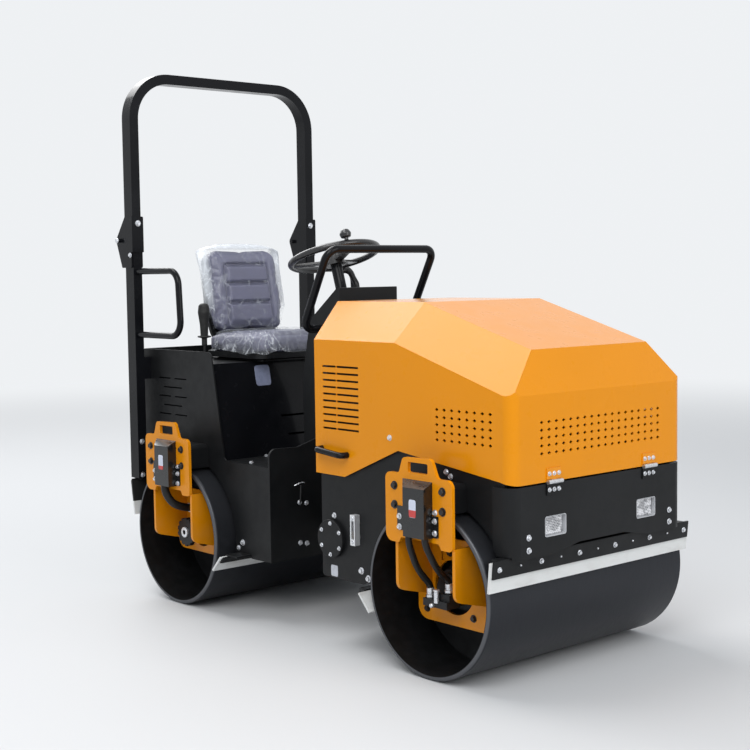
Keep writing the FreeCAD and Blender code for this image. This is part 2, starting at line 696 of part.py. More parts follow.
floor = [box(lean_low_x, wall_x, -body_inner, body_inner, floor_height - 8, floor_height),
         box(rx + 395, wall_x, -body_inner, body_inner, belly_height - 6, belly_height + 2)]
save("rear_floor", floor)
panel = plate_xz([(lean_low_x - 14, floor_height - 8, 0), (lean_low_x - 10, floor_height - 8, 0),
                  (lean_top_x - 12, deck_height, 0), (lean_top_x - 16, deck_height, 0)], -body_inner, body_inner)
for z, half in ((733, 86), (658, 62)):
    panel = panel.cut(box(lean_top_x - 60, lean_low_x + 60, -half, half, z - 4, z + 4))
save("seat_front_panel", [panel])
save("seat_deck", [box(tail_x + 6, lean_top_x - 16, -body_inner, body_inner, deck_height - 6, deck_height)])
save("rear_panel", [box(tail_x, tail_x + 6, -body_inner, body_inner, 470, body_top)])
rear_guard = rod((rx, -body_inner, axle_z), (rx, body_inner, axle_z), drum_clear + 10)
rear_guard = rear_guard.cut(rod((rx, -body_inner - 1, axle_z), (rx, body_inner + 1, axle_z), drum_clear + 2))
rear_guard = rear_guard.common(box(tail_x + 6, rx, -body_inner, body_inner, 470, 700).fuse(
    box(rx, rx + 400, -body_inner, body_inner, belly_height - 6, 700)))
save("rear_drum_guard", [rear_guard])

# Console, steering column, handrail

console_half = 145.0
console = plate_xz([(wall_x, floor_height, 0), (wall_x - 100, floor_height, 10), (wall_x - 105, 900, 40),
                    (wall_x - 60, 1100, 20), (wall_x - 35, 1140, 10), (pivot_x - 55, 1250, 12),
                    (pivot_x - 41, 1250, 4), (pivot_x - 41, 1090, 30), (wall_x + 55, 960, 60),
                    (wall_x + 11, 800, 40), (wall_x + 11, 685, 0), (wall_x, 685, 0)], -console_half, console_half)
save("steering_console", [console])

hub_point = (pivot_x - 240.0, 0.0, 1361.0)
lean = math.radians(17.5)
axis_dir = (-math.sin(lean), 0.0, math.cos(lean))


def along_column(distance):
    """Point on the steering axis, measured up from the middle of the hub."""
    return tuple(hub_point[i] + axis_dir[i] * distance for i in range(3))


column = rod(along_column(-250), along_column(-28.5), 22)
save("steering_column", [column.cut(console)])

rim_centre = along_column(8)
rim = Part.makeTorus(wheel_rim_radius, 13, V(*rim_centre), V(*axis_dir))
spokes = []
for turn in (-10, 110, 230):
    a = math.radians(turn)
    way = V(math.cos(lean), 0, math.sin(lean)) * math.cos(a) + V(0, 1, 0) * math.sin(a)
    across = V(*axis_dir).cross(way)
    start = V(*along_column(-10))
    slope = (V(*rim_centre) + way * wheel_rim_radius - start) * (1 / wheel_rim_radius)
    blade = outline([(20, -20, 0), (wheel_rim_radius, -14, 0), (wheel_rim_radius, 14, 0), (20, 20, 0)],
                    lambda u, v: start + slope * u + across * v)
    spokes.append(blade.extrude(V(*axis_dir) * -8))
hub = Part.makeCone(42, 30, 34, V(*along_column(-28)), V(*axis_dir))
cap = Part.makeCylinder(30, 10, V(*along_column(5.9)), V(*axis_dir))
save("steering_wheel", [fuse([rim, hub, cap] + spokes)])
knob_turn = math.radians(-21)
knob_way = V(math.cos(lean), 0, math.sin(lean)) * math.cos(knob_turn) + V(0, 1, 0) * math.sin(knob_turn)
knob_foot = V(*rim_centre) + knob_way * wheel_rim_radius + V(*axis_dir) * 13
# Half section of the knob: distance from its axis, height above the rim
knob_section = [(0, 0, 0), (8, 0, 0), (8, 9, 0), (19, 11, 4), (23, 25, 10), (14, 42, 12), (0, 42, 0)]
knob = outline(knob_section, lambda u, v: V(u, 0, v)).revolve(V(0, 0, 0), V(0, 0, 1), 360)
knob.Placement = FreeCAD.Placement(knob_foot, FreeCAD.Rotation(V(0, 0, 1), V(*axis_dir)))
save("steering_knob", [knob])

tube = bent_wire([(pivot_x - 243, 10, 1306), (pivot_x - 232, 62, 1318), (pivot_x - 184, 62, 1262),
                  (pivot_x - 170, 62, 1150)], 22)
save("column_cable_tube", [bar_along(tube, 11).cut(console).cut(column)])

rail_half = 265.0
rail = bent_wire([(pivot_x - 112, -console_half, 1096), (pivot_x - 112, -rail_half, 1096),
                  (pivot_x + 44, -rail_half, 1392), (pivot_x + 44, rail_half, 1392),
                  (pivot_x - 112, rail_half, 1096), (pivot_x - 112, console_half, 1096)], 46)
save("handrail", [bar_along(rail, 15)])

# Seat: slide rails on a plate, a pan and back shell, cushion and backrest

seat_z = 992.0
rails = [plate_xy([(rx - 190, -170, 20), (rx + 175, -170, 20), (rx + 175, 170, 20), (rx - 190, 170, 20)],
                  deck_height, deck_height + 6)]
for y in (-130, 130):
    rails.append(box(rx - 160, rx + 150, y - 18, y + 18, deck_height + 5, seat_z - 24))
save("seat_rails", [fuse(rails)])
seat_half = seat_width / 2
pan_depth = 24.0
pan_low = seat_z - pan_depth
pan = plate_xy([(rx - 165, -seat_half + 8, 30), (rx + 215, -seat_half + 8, 60),
                (rx + 215, seat_half - 8, 60), (rx - 165, seat_half - 8, 30)], pan_low, seat_z)
back_low = 1062.0
shell_top = 1392.0
back_top = 1406.0


def back_line(height):
    """Where the backrest meets its shell, along X at a height."""
    return rx - 174 - (height - back_low) * 0.1887


back_shell = plate_xz([(rx - 165, pan_low + 1, 0), (rx - 145.5, pan_low + 1, 0), (rx - 145.5, 1012, 10),
                       (back_line(back_low), back_low, 20), (back_line(shell_top), shell_top, 6),
                       (back_line(shell_top) - 14, shell_top, 6), (back_line(back_low) - 16, back_low, 30),
                       (rx - 165, 1012, 20)], -seat_half + 20, seat_half - 20)
shell_outline = plate_yz([(-150, seat_z - 30, 0), (150, seat_z - 30, 0), (seat_half - 35, 1150, 60),
                          (seat_half - 50, 1392, 50), (50 - seat_half, 1392, 50), (35 - seat_half, 1150, 60)],
                         rx - 300, rx)
save("seat_base", [fuse([pan, back_shell.common(shell_outline)])])
cushion = plate_xz([(rx - 145, seat_z, 8), (rx + 232, seat_z, 20), (rx + 243, 1044, 28), (rx + 200, 1064, 30),
                    (rx - 145, 1054, 14)], -seat_half, seat_half)
plan = plate_xy([(rx - 150, -seat_half, 30), (rx + 243, -seat_half, 75), (rx + 243, seat_half, 75),
                 (rx - 150, seat_half, 30)], seat_z - 10, 1100)
save("seat_cushion", [cushion.common(plan)])
backrest = plate_xz([(back_line(back_low), back_low, 20), (rx - 112, 1066, 22), (rx - 178, 1412, 28),
                     (back_line(back_top), back_top, 26)], -seat_half, seat_half)
front_view = plate_yz([(-152, 1055, 55), (152, 1055, 55), (184, 1170, 100), (168, 1415, 70),
                       (-168, 1415, 70), (-184, 1170, 100)], rx - 300, rx)
save("seat_backrest", [backrest.common(front_view)])

# Drive lever, at the seat's right: distance from its axis, height above the deck
lever_x = rx - 2.0
lever_y = -(body_half_width - 78.0)
lever_section = [(0, 0, 0), (26, 0, 0), (26, 5, 0), (5, 12, 0), (5, 66, 0), (11, 68, 0), (11, 96, 0), (27, 100, 2),
                 (27, 105, 2), (15, 107, 0), (17, 150, 40), (24, 200, 20), (20, 234, 16), (0, 236, 0)]
lever = outline(lever_section, lambda u, v: V(u, 0, v)).revolve(V(0, 0, 0), V(0, 0, 1), 360)
lever.Placement = FreeCAD.Placement(V(lever_x, lever_y, deck_height), FreeCAD.Rotation())
save("control_lever", [lever])

# Folding roll-over hoop

tube_in = rops_half_width - rops_tube
post_back = post_x - rops_depth / 2
post_face = post_x + rops_depth / 2
hinge_back = post_x - 57.0
hinge_pin_radius = 8.0
bracket_gap = 1.0
bracket_plate = 6.0
bracket_low = 1337.0
bracket_top = 1545.0
# Lug behind the post that holds the pin: along and up from the pin, corner radius
lug_form = [(28, -84, 0), (28, -3, 0), (20, 20, 19), (-20, 20, 19), (-20, -20, 19)]
# Side plate of the hoop's bracket: along from the middle of the post, height, corner radius
bracket_form = [(-45, bracket_low, 5), (27, bracket_low, 6), (27, 1400, 0), (37, 1400, 0), (37, bracket_top, 6),
                (-18, bracket_top, 8), (-89, rops_hinge_height + 3, 22)]
posts = []
for way in (1, -1):
    lo, hi = sorted((way * tube_in, way * rops_half_width))
    post = box(post_back, post_face, lo, hi, 470, rops_hinge_height - 2)
    post_lug = plate_xz([(hinge_back + u, rops_hinge_height + v, r) for u, v, r in lug_form], lo, hi)
    pin = rod((hinge_back, way * (tube_in - 20), rops_hinge_height),
              (hinge_back, way * (rops_half_width + 20), rops_hinge_height), hinge_pin_radius)
    lo, hi = sorted((way * body_half_width, way * tube_in))
    feet = [box(post_back, post_face, lo, hi, low, low + 90) for low in (480, 880)]
    posts.append(fuse([post, post_lug, pin] + feet))
save("rops_posts", posts)

hoop = plate_yz([(-rops_half_width, rops_hinge_height + 2, 0), (-rops_half_width, rops_top, 190),
                 (rops_half_width, rops_top, 190), (rops_half_width, rops_hinge_height + 2, 0),
                 (tube_in, rops_hinge_height + 2, 0), (tube_in, rops_top - rops_tube, 190 - rops_tube),
                 (-tube_in, rops_top - rops_tube, 190 - rops_tube), (-tube_in, rops_hinge_height + 2, 0)],
                post_back, post_face)
pieces = [hoop]
plate_in = tube_in - bracket_gap
plate_out = rops_half_width + bracket_gap
for way in (1, -1):
    for y0, y1 in ((plate_in - bracket_plate, plate_in), (plate_out, plate_out + bracket_plate)):
        lo, hi = sorted((way * y0, way * y1))
        cheek = plate_xz([(post_x + u, v, r) for u, v, r in bracket_form], lo, hi)
        pieces.append(cheek.cut(rod((hinge_back, lo - 1, rops_hinge_height), (hinge_back, hi + 1, rops_hinge_height),
                                    hinge_pin_radius + running_gap)))
    for y0, y1 in ((plate_in - 1, tube_in + 1), (rops_half_width - 1, plate_out + 1)):
        lo, hi = sorted((way * y0, way * y1))
        pieces.append(box(post_x - 20, post_x + 20, lo, hi, 1470, 1530))
    lo, hi = sorted((way * (plate_in - 1), way * (plate_out + 1)))
    pieces.append(box(post_face + bracket_gap, post_face + bracket_gap + bracket_plate, lo, hi, 1400, bracket_top))
    lo, hi = sorted((way * (tube_in + 8), way * (rops_half_width - 8)))
    pieces.append(box(post_face - 1, post_face + bracket_gap + 1, lo, hi, 1470, 1530))
save("rops_hoop", [fuse(pieces)])

grab_y = rops_half_width - rops_tube / 2
grab_x = post_face
grab = bent_wire([(grab_x, -grab_y, 1322), (grab_x + 294, -grab_y, 1322),
                  (grab_x + 309, -grab_y, 1064), (grab_x, -grab_y, 1064)], 60)
save("grab_handle", both(bar_along(grab, 13)))
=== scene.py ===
import math
import bmesh
import bpy
import numpy as np
from bpy.props import FloatProperty, FloatVectorProperty, IntProperty, PointerProperty
from mathutils import Matrix, Vector


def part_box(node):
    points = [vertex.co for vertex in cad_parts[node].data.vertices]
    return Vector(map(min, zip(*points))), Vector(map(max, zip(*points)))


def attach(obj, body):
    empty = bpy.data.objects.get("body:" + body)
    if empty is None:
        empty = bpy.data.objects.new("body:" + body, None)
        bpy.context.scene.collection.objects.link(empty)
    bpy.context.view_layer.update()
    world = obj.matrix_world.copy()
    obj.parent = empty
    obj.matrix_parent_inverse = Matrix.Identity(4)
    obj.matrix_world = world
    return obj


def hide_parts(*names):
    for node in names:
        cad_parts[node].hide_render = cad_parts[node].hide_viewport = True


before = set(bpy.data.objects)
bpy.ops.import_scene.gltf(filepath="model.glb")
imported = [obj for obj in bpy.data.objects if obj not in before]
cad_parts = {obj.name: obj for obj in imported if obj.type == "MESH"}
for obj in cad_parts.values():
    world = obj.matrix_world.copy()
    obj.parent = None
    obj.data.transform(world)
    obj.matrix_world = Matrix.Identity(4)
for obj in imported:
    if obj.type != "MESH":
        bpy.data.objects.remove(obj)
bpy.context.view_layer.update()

bl_info = {
    "name": "Tandem road roller",
    "version": (1, 0, 0),
    "blender": (4, 5, 0),
    "location": "3D View > Sidebar > Roller",
    "description": "Finishes, fasteners, lamps, seat and stage round the frame of a small road roller",
    "category": "Add Mesh",
}

# Places read from the frame, in metres
FRONT_X = sum(v.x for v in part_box("front_drum_shell")) / 2
REAR_X = sum(v.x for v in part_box("rear_drum_shell")) / 2
AXLE_Z = sum(v.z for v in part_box("front_drum_shell")) / 2
DRUM_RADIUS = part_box("front_drum_shell")[1].z - AXLE_Z
NOSE_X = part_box("front_bumper")[1].x
FORK_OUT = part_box("front_forks")[1].y
COVER_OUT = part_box("front_hose_covers")[1].y
FRAME_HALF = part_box("front_side_plates")[1].y
BODY_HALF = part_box("rear_side_plates")[1].y
WALL_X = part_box("rear_front_wall")[0].x
BLADE_CLAMP = 0.5565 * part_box("rear_scraper_blades")[1].z + 0.1198
# Middle line of the leaning backrest: its foot, and how far it leans back for each metre of height
BACK_X = REAR_X - 0.143
BACK_Z = 1.062
BACK_LEAN = 0.19
HINGE_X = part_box("hood_hinge_frame_leaves")[1].x - 0.007
HINGE_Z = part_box("hood_hinge_frame_leaves")[1].z - 0.007


class RollerSizes(bpy.types.PropertyGroup):
    """Sizes of the fasteners and the seat's sewing."""

    large_bolt: FloatProperty(name="Large bolt", description="Width across the corners of the fork bolts' heads",
                              default=0.0205, unit="LENGTH")
    medium_bolt: FloatProperty(name="Medium bolt", description="Width across the corners of the frame's bolt heads",
                               default=0.0145, unit="LENGTH")
    small_bolt: FloatProperty(name="Small bolt", description="Width across the corners of the hinges' bolt heads",
                              default=0.0108, unit="LENGTH")
    pad_pressure: FloatProperty(name="Pad pressure", description="Pressure that fills the seat's padding", default=4.0)
    pad_steps: IntProperty(name="Pad steps", description="Steps for which the seat's padding swells", default=16)
    channel_depth: FloatProperty(name="Channel depth", description="Depth of the sewn channels in the seat",
                                 default=0.015, unit="LENGTH")


class RollerColours(bpy.types.PropertyGroup):
    """Colours of the finishes, as linear values."""

    machine: FloatVectorProperty(name="Machine yellow", description="Gloss paint of the hood and the forks",
                                 subtype="COLOR", size=3, default=(0.77, 0.272, 0.002))
    frame_black: FloatVectorProperty(name="Frame black", description="Satin coat of the frames", subtype="COLOR",
                                     size=3, default=(0.0064, 0.0068, 0.0074))
    tube_black: FloatVectorProperty(name="Tube black", description="Gloss coat of the tubes", subtype="COLOR",
                                    size=3, default=(0.0052, 0.0055, 0.0068))
    drum_grey: FloatVectorProperty(name="Drum grey", description="Rolled steel of the drums", subtype="COLOR",
                                   size=3, default=(0.036, 0.0378, 0.043))
    vinyl: FloatVectorProperty(name="Seat vinyl", description="Grey cover of the seat", subtype="COLOR", size=3,
                               default=(0.138, 0.140, 0.205))
    blade: FloatVectorProperty(name="Scraper white", description="Plastic of the scraper blades", subtype="COLOR",
                               size=3, default=(0.72, 0.73, 0.72))
    floor: FloatVectorProperty(name="Floor", description="Pale floor under the machine", subtype="COLOR", size=3,
                               default=(0.62, 0.625, 0.63))
    backdrop: FloatVectorProperty(name="Backdrop", description="Pale light backdrop behind the machine",
                                  subtype="COLOR", size=3, default=(0.86, 0.88, 0.90))


def sizes():
    return bpy.context.scene.roller_sizes


def colours():
    return bpy.context.scene.roller_colours


# Finishes


class Number:
    """A shader value; each Python operator on it adds the Math node of that name."""

    def __init__(self, finish, socket):
        self.finish = finish
        self.socket = socket

    def maths(self, operation, first, second=None):
        values = {0: first} if second is None else {0: first, 1: second}
        return Number(self.finish, self.finish.node("ShaderNodeMath", {"operation": operation}, values).outputs[0])

    def __add__(self, other):
        return self.maths("ADD", self, other)

    __radd__ = __add__

    def __mul__(self, other):
        return self.maths("MULTIPLY", self, other)

    __rmul__ = __mul__

    def __sub__(self, other):
        return self.maths("SUBTRACT", self, other)

    def __rsub__(self, other):
        return self.maths("SUBTRACT", other, self)

    def __pow__(self, other):
        return self.maths("POWER", self, other)

    def __abs__(self):
        return self.maths("ABSOLUTE", self)

    def sine(self):
        return self.maths("SINE", self)

    def smooth(self, low, high, to_low=0.0, to_high=1.0):
        """Smooth step of the value between low and high."""
        node = self.finish.node("ShaderNodeMapRange", {"interpolation_type": "SMOOTHSTEP"},
                                {"Value": self, "From Min": low, "From Max": high, "To Min": to_low,
                                 "To Max": to_high})
        return Number(self.finish, node.outputs["Result"])


class Finish:
    """One procedural material with its Principled shader."""

    def __init__(self, name, colour, roughness, metallic=0.0, coat=0.0):
        self.material = bpy.data.materials.new(name)
        self.material.use_nodes = True
        self.tree = self.material.node_tree
        self.shader = self.tree.nodes["Principled BSDF"]
        self.set("Base Color", colour)
        self.set("Roughness", roughness)
        self.set("Metallic", metallic)
        self.set("Coat Weight", coat)

    def node(self, kind, settings=None, values=None):
        """Adds a node: its settings first, then the values or links of its sockets."""
        node = self.tree.nodes.new(kind)
        for key, value in (settings or {}).items():
            setattr(node, key, value)
        for key, value in (values or {}).items():
            self.link(node.inputs[key], value)
        return node

    def link(self, socket, value):
        if isinstance(value, Number):
            value = value.socket
        if isinstance(value, bpy.types.NodeSocket):
            self.tree.links.new(value, socket)
            return
        if socket.type == "RGBA" and len(value) == 3:
            value = (*value, 1.0)
        socket.default_value = value

    def set(self, socket, value):
        self.link(self.shader.inputs[socket], value)

    def place(self, scale=(1, 1, 1)):
        """The piece's own coordinates in metres, stretched by scale."""
        coordinates = self.node("ShaderNodeTexCoord").outputs["Object"]
        return self.node("ShaderNodeMapping", None, {"Vector": coordinates, "Scale": scale}).outputs[0]

    def axis(self, letter):
        coordinates = self.node("ShaderNodeTexCoord").outputs["Object"]
        return Number(self, self.node("ShaderNodeSeparateXYZ", None, {0: coordinates}).outputs[letter])

    def noise(self, scale, detail=3.0, rough=0.55, stretch=(1, 1, 1), warp=0.0):
        node = self.node("ShaderNodeTexNoise", None,
                         {"Vector": self.place(stretch), "Scale": scale, "Detail": detail, "Roughness": rough,
                          "Distortion": warp})
        return Number(self, node.outputs["Fac"])

    def cells(self, scale, feature="F1"):
        node = self.node("ShaderNodeTexVoronoi", {"feature": feature}, {"Vector": self.place(), "Scale": scale})
        return Number(self, node.outputs["Distance"])

    def mix(self, factor, first, second):
        node = self.node("ShaderNodeMix", {"data_type": "RGBA"}, {"Factor": factor})
        self.link(node.inputs[6], first)
        self.link(node.inputs[7], second)
        return node.outputs[2]

    def bump(self, height, strength, distance):
        node = self.node("ShaderNodeBump", None, {"Height": height, "Strength": strength, "Distance": distance})
        self.set("Normal", node.outputs["Normal"])

    def dust(self, colour, amount, top, tone=(0.30, 0.285, 0.26)):
        """Dust that thins out upwards from the ground to the height top."""
        low = 1 - self.axis("Z").smooth(0.0, top)
        patch = self.noise(9.0, 5.0, 0.62).smooth(0.38, 0.72)
        return self.mix(low * patch * amount, colour, tone)


def machine_yellow():
    c = colours().machine
    f = Finish("machine_yellow", c, 0.3, coat=0.9)
    shade = f.noise(1.3, 2.0).smooth(0.3, 0.7)
    tint = f.mix(shade, c, (c[0] * 0.94, c[1] * 0.95, c[2]))
    f.set("Base Color", f.dust(tint, 0.10, 0.75))
    f.set("Roughness", f.noise(14.0, 4.0).smooth(0.3, 0.75, 0.26, 0.36))
    f.shader.inputs["Specular IOR Level"].default_value = 0.06
    f.shader.inputs["Coat Roughness"].default_value = 0.2
    f.shader.inputs["Coat IOR"].default_value = 1.28
    f.bump(f.noise(110.0, 2.0), 0.025, 0.0004)
    return f.material


def frame_black():
    c = colours().frame_black
    f = Finish("frame_black", c, 0.42)
    f.set("Base Color", f.dust(f.mix(f.noise(3.0, 3.0).smooth(0.3, 0.7), c, tuple(v * 1.5 for v in c)), 0.10, 0.5,
                               (0.10, 0.095, 0.085)))
    f.set("Roughness", f.noise(22.0, 4.0).smooth(0.3, 0.7, 0.34, 0.48))
    f.shader.inputs["Specular IOR Level"].default_value = 0.2
    f.bump(f.noise(420.0, 2.0), 0.16, 0.0006)
    return f.material


def tube_black():
    c = colours().tube_black
    f = Finish("tube_black", c, 0.22, coat=0.35)
    f.set("Base Color", f.mix(f.noise(5.0, 3.0).smooth(0.3, 0.7), c, tuple(v * 1.4 for v in c)))
    f.shader.inputs["Specular IOR Level"].default_value = 0.1
    f.shader.inputs["Coat IOR"].default_value = 1.26
    f.set("Roughness", f.noise(18.0, 3.0).smooth(0.3, 0.7, 0.18, 0.28))
    f.shader.inputs["Coat Roughness"].default_value = 0.08
    f.bump(f.noise(300.0, 2.0), 0.08, 0.0005)
    return f.material


def drum_steel(name, axle_x):
    """Rolled face with fine marks round the drum, a worn rim, and near black inside the rim."""
    c = colours().drum_grey
    f = Finish(name, c, 0.42, metallic=0.5)
    f.shader.inputs["Specular IOR Level"].default_value = 0.12
    away = ((f.axis("X") - axle_x) ** 2.0 + (f.axis("Z") - AXLE_Z) ** 2.0) ** 0.5
    inside = 1 - away.smooth(DRUM_RADIUS - 0.0155, DRUM_RADIUS - 0.013)
    rim = abs(f.axis("Y")).smooth(0.474, 0.4785)
    marks = f.noise(60.0, 3.0, 0.6, (0.35, 9.0, 0.35)).smooth(0.25, 0.75)
    worn = f.noise(5.0, 4.0, 0.6, (1, 0.5, 1)).smooth(0.35, 0.7)
    face = f.mix(marks * 0.35 + worn * 0.25, c, (c[0] * 0.72, c[1] * 0.73, c[2] * 0.76))
    face = f.mix(rim * 0.4, face, (0.22, 0.225, 0.24))
    # Near black inside the rim, much darker than the face
    black = f.mix(f.noise(26.0, 4.0).smooth(0.35, 0.7), (0.006, 0.0062, 0.0065), (0.010, 0.0102, 0.011))
    f.set("Base Color", f.mix(inside, face, black))
    f.set("Metallic", (1 - inside) * 0.5)
    f.set("Roughness", inside * 0.12 + marks * 0.14 + 0.30)
    f.bump(marks * 0.6 + f.noise(240.0, 2.0) * 0.4, 0.10, 0.0006)
    return f.material


def motor_iron():
    f = Finish("motor_iron", (0.010, 0.0105, 0.011), 0.5)
    f.set("Base Color", f.mix(f.noise(16.0, 4.0).smooth(0.35, 0.7), (0.008, 0.0083, 0.009), (0.016, 0.0165, 0.0175)))
    f.shader.inputs["Specular IOR Level"].default_value = 0.3
    f.bump(f.noise(180.0, 4.0), 0.35, 0.001)
    return f.material


def rubber():
    f = Finish("rubber", (0.010, 0.010, 0.010), 0.6)
    f.set("Base Color", f.mix(f.noise(30.0, 4.0).smooth(0.4, 0.7), (0.009, 0.009, 0.009), (0.018, 0.018, 0.0175)))
    f.shader.inputs["Specular IOR Level"].default_value = 0.35
    f.bump(f.noise(300.0, 3.0), 0.2, 0.0005)
    return f.material


def hose_rubber():
    f = Finish("hose_rubber", (0.009, 0.009, 0.0095), 0.38)
    f.shader.inputs["Specular IOR Level"].default_value = 0.3
    f.set("Roughness", f.noise(40.0, 3.0).smooth(0.3, 0.7, 0.32, 0.44))
    rib = (f.axis("Z") * 2200.0).sine() * 0.5 + 0.5
    f.bump(rib * 0.5 + f.noise(200.0, 2.0) * 0.5, 0.12, 0.0006)
    return f.material


def blade_plastic():
    c = colours().blade
    f = Finish("blade_plastic", c, 0.5)
    grime = f.noise(7.0, 5.0, 0.65, (1, 1, 2.5)).smooth(0.45, 0.78)
    edge = 1 - f.axis("Z").smooth(0.30, 0.36)
    face = f.mix(grime * 0.22 + edge * grime * 0.3, c, (0.36, 0.34, 0.31))
    rear = 1 - f.axis("X").smooth(REAR_X - 0.2, REAR_X - 0.19)
    clamped = rear * f.axis("Z").smooth(BLADE_CLAMP, BLADE_CLAMP + 0.001)
    f.set("Base Color", f.mix(clamped, face, (0.010, 0.0104, 0.011)))
    f.bump(f.noise(90.0, 4.0), 0.1, 0.0008)
    return f.material


def zinc(name="zinc", colour=(0.78, 0.80, 0.84)):
    f = Finish(name, colour, 0.3, metallic=0.75)
    f.set("Base Color", f.mix(f.noise(120.0, 3.0).smooth(0.3, 0.7), colour, (0.62, 0.63, 0.65)))
    f.set("Roughness", f.noise(90.0, 3.0).smooth(0.3, 0.7, 0.24, 0.4))
    f.bump(f.noise(500.0, 2.0), 0.1, 0.0003)
    return f.material


def black_bolt():
    f = Finish("black_bolt", (0.016, 0.016, 0.017), 0.36, metallic=0.3, coat=0.2)
    f.set("Roughness", f.noise(140.0, 3.0).smooth(0.3, 0.7, 0.3, 0.46))
    f.bump(f.noise(600.0, 2.0), 0.1, 0.0003)
    return f.material


def hinge_finish(name, leaf, coat):
    """Painted hinge leaf whose round knuckles and pin are bare bright steel."""
    f = Finish(name, leaf, 0.34, coat=coat)
    away = ((f.axis("X") - HINGE_X) ** 2.0 + (f.axis("Z") - HINGE_Z) ** 2.0) ** 0.5
    bare = 1 - away.smooth(0.0070, 0.0078)
    f.set("Base Color", f.mix(bare, leaf, (0.66, 0.67, 0.69)))
    f.set("Metallic", bare * 0.9)
    f.set("Roughness", f.noise(90.0, 3.0).smooth(0.3, 0.7, 0.26, 0.38))
    f.shader.inputs["Specular IOR Level"].default_value = 0.2
    f.bump(f.noise(300.0, 2.0), 0.08, 0.0004)
    return f.material


def light_grey_casting():
    f = Finish("gauge_casting", (0.80, 0.81, 0.83), 0.3, metallic=0.55)
    f.set("Roughness", f.noise(60.0, 3.0).smooth(0.3, 0.7, 0.28, 0.42))
    f.bump(f.noise(160.0, 3.0), 0.2, 0.0005)
    return f.material


def lamp_housing():
    f = Finish("lamp_housing", (0.42, 0.43, 0.45), 0.3, coat=0.25)
    f.set("Base Color", f.mix(f.noise(30.0, 3.0).smooth(0.3, 0.7), (0.40, 0.41, 0.43), (0.48, 0.49, 0.51)))
    f.bump(f.noise(220.0, 2.0), 0.08, 0.0004)
    return f.material


def lamp_glass():
    f = Finish("lamp_glass", (0.95, 0.96, 0.98), 0.04)
    f.shader.inputs["Transmission Weight"].default_value = 0.9
    f.shader.inputs["IOR"].default_value = 1.3
    ribs = (f.axis("Z") * 900.0 + f.axis("Y") * 420.0).sine() * 0.5 + 0.5
    f.bump(ribs, 0.5, 0.0012)
    return f.material


def lamp_prisms():
    """Milky prismatic face of a work light. Its colour holds painted reflections and glints: dark-to-white patches
    stand for the reflector's reflection, and a diagonal dark-to-white speckle stands for light caught by the facets.
    """
    f = Finish("lamp_prisms", (0.72, 0.74, 0.78), 0.16, coat=0.6)
    patch = f.noise(40.0, 3.0, 0.6, (1, 1, 1), 0.6).smooth(0.40, 0.60)
    cross = (f.axis("Y") * 600.0 + f.axis("Z") * 600.0).sine() * (f.axis("Y") * 600.0 - f.axis("Z") * 600.0).sine()
    cells = cross.smooth(-0.5, 0.5)
    # Base colour from near black to white: painted reflection of the reflector in the noise patches, painted glints of
    # the prism facets in the diagonal cells
    f.set("Base Color", f.mix(patch * 0.45 + cells * 0.55, (0.06, 0.065, 0.075), (0.98, 0.98, 1.0)))
    f.set("Roughness", patch * 0.1 + 0.10)
    f.bump(f.noise(220.0, 2.0), 0.15, 0.0005)
    return f.material


def seat_vinyl(name="seat_vinyl"):
    c = colours().vinyl
    f = Finish(name, c, 0.42, coat=0.25)
    grain = 1 - f.cells(330.0, "DISTANCE_TO_EDGE").smooth(0.0, 0.09)
    wear = f.noise(12.0, 4.0).smooth(0.35, 0.7)
    pale = (c[0] * 1.16, c[1] * 1.14, c[2] * 1.2)
    dark = (c[0] * 0.52, c[1] * 0.55, c[2] * 0.62)
    tone = f.mix(wear * 0.5, c, pale)
    f.set("Base Color", f.mix(grain * 0.25, tone, dark))
    f.set("Roughness", wear * 0.12 + 0.36)
    f.bump(f.noise(35.0, 4.0) * 0.35 + (1 - grain) * 0.65, 0.22, 0.0012)
    return f.material


def clear_film():
    """Thin clear film: almost see-through over the pads. Its alpha makes it white along its creases, its flaps, its
    top and over the cushion; this is painted highlight for film seen edge-on and for glare on the cushion, and along
    the creases partly also the real whitening of creased film.
    """
    f = Finish("clear_film", (0.88, 0.92, 0.97), 0.2)
    # Painted highlight: the creases turn whiter towards the sides, where the film is seen edge-on
    side = abs(f.axis("Y")).smooth(0.10, 0.17)
    fine = f.noise(20.0, 3.0, 0.5, (1, 1.6, 0.7), 0.5)
    crease = 1 - abs(fine * 2.0 - 1.0).smooth(0.0, 0.05)
    broad = 1 - abs(f.noise(7.0, 2.0, 0.5, (1, 1.4, 1), 0.4) * 2.0 - 1.0).smooth(0.0, 0.035)
    # Painted highlights: the side fins, the top seam and the film over the cushion are made more opaque white, for
    # film seen edge-on and for the glare on the cushion's top
    flap_glare = abs(f.axis("Y")).smooth(0.172, 0.194) * f.axis("Z").smooth(1.12, 1.24)
    top = f.axis("Z").smooth(1.405, 1.419)
    level = 1 - f.axis("Z").smooth(1.075, 1.10)
    behind = 1 - (f.axis("X") + f.axis("Z") * BACK_LEAN - (BACK_X + BACK_Z * BACK_LEAN)).smooth(-0.03, 0.0)
    # White along the creases: partly the real whitening of creased film, partly painted highlight, raised on the sides
    # and over the cushion as painted glare
    folds_and_glare = (crease * (side * 0.22 + level * 0.10 + 0.05) + broad * 0.16) * (1 - behind * (1 - level) * 0.8)
    f.set("Alpha", folds_and_glare + flap_glare * 0.66 + top * 0.60 + level * 0.07 + 0.03)
    f.bump(crease * 0.5 + broad * 0.5, 0.25, 0.003)
    return f.material


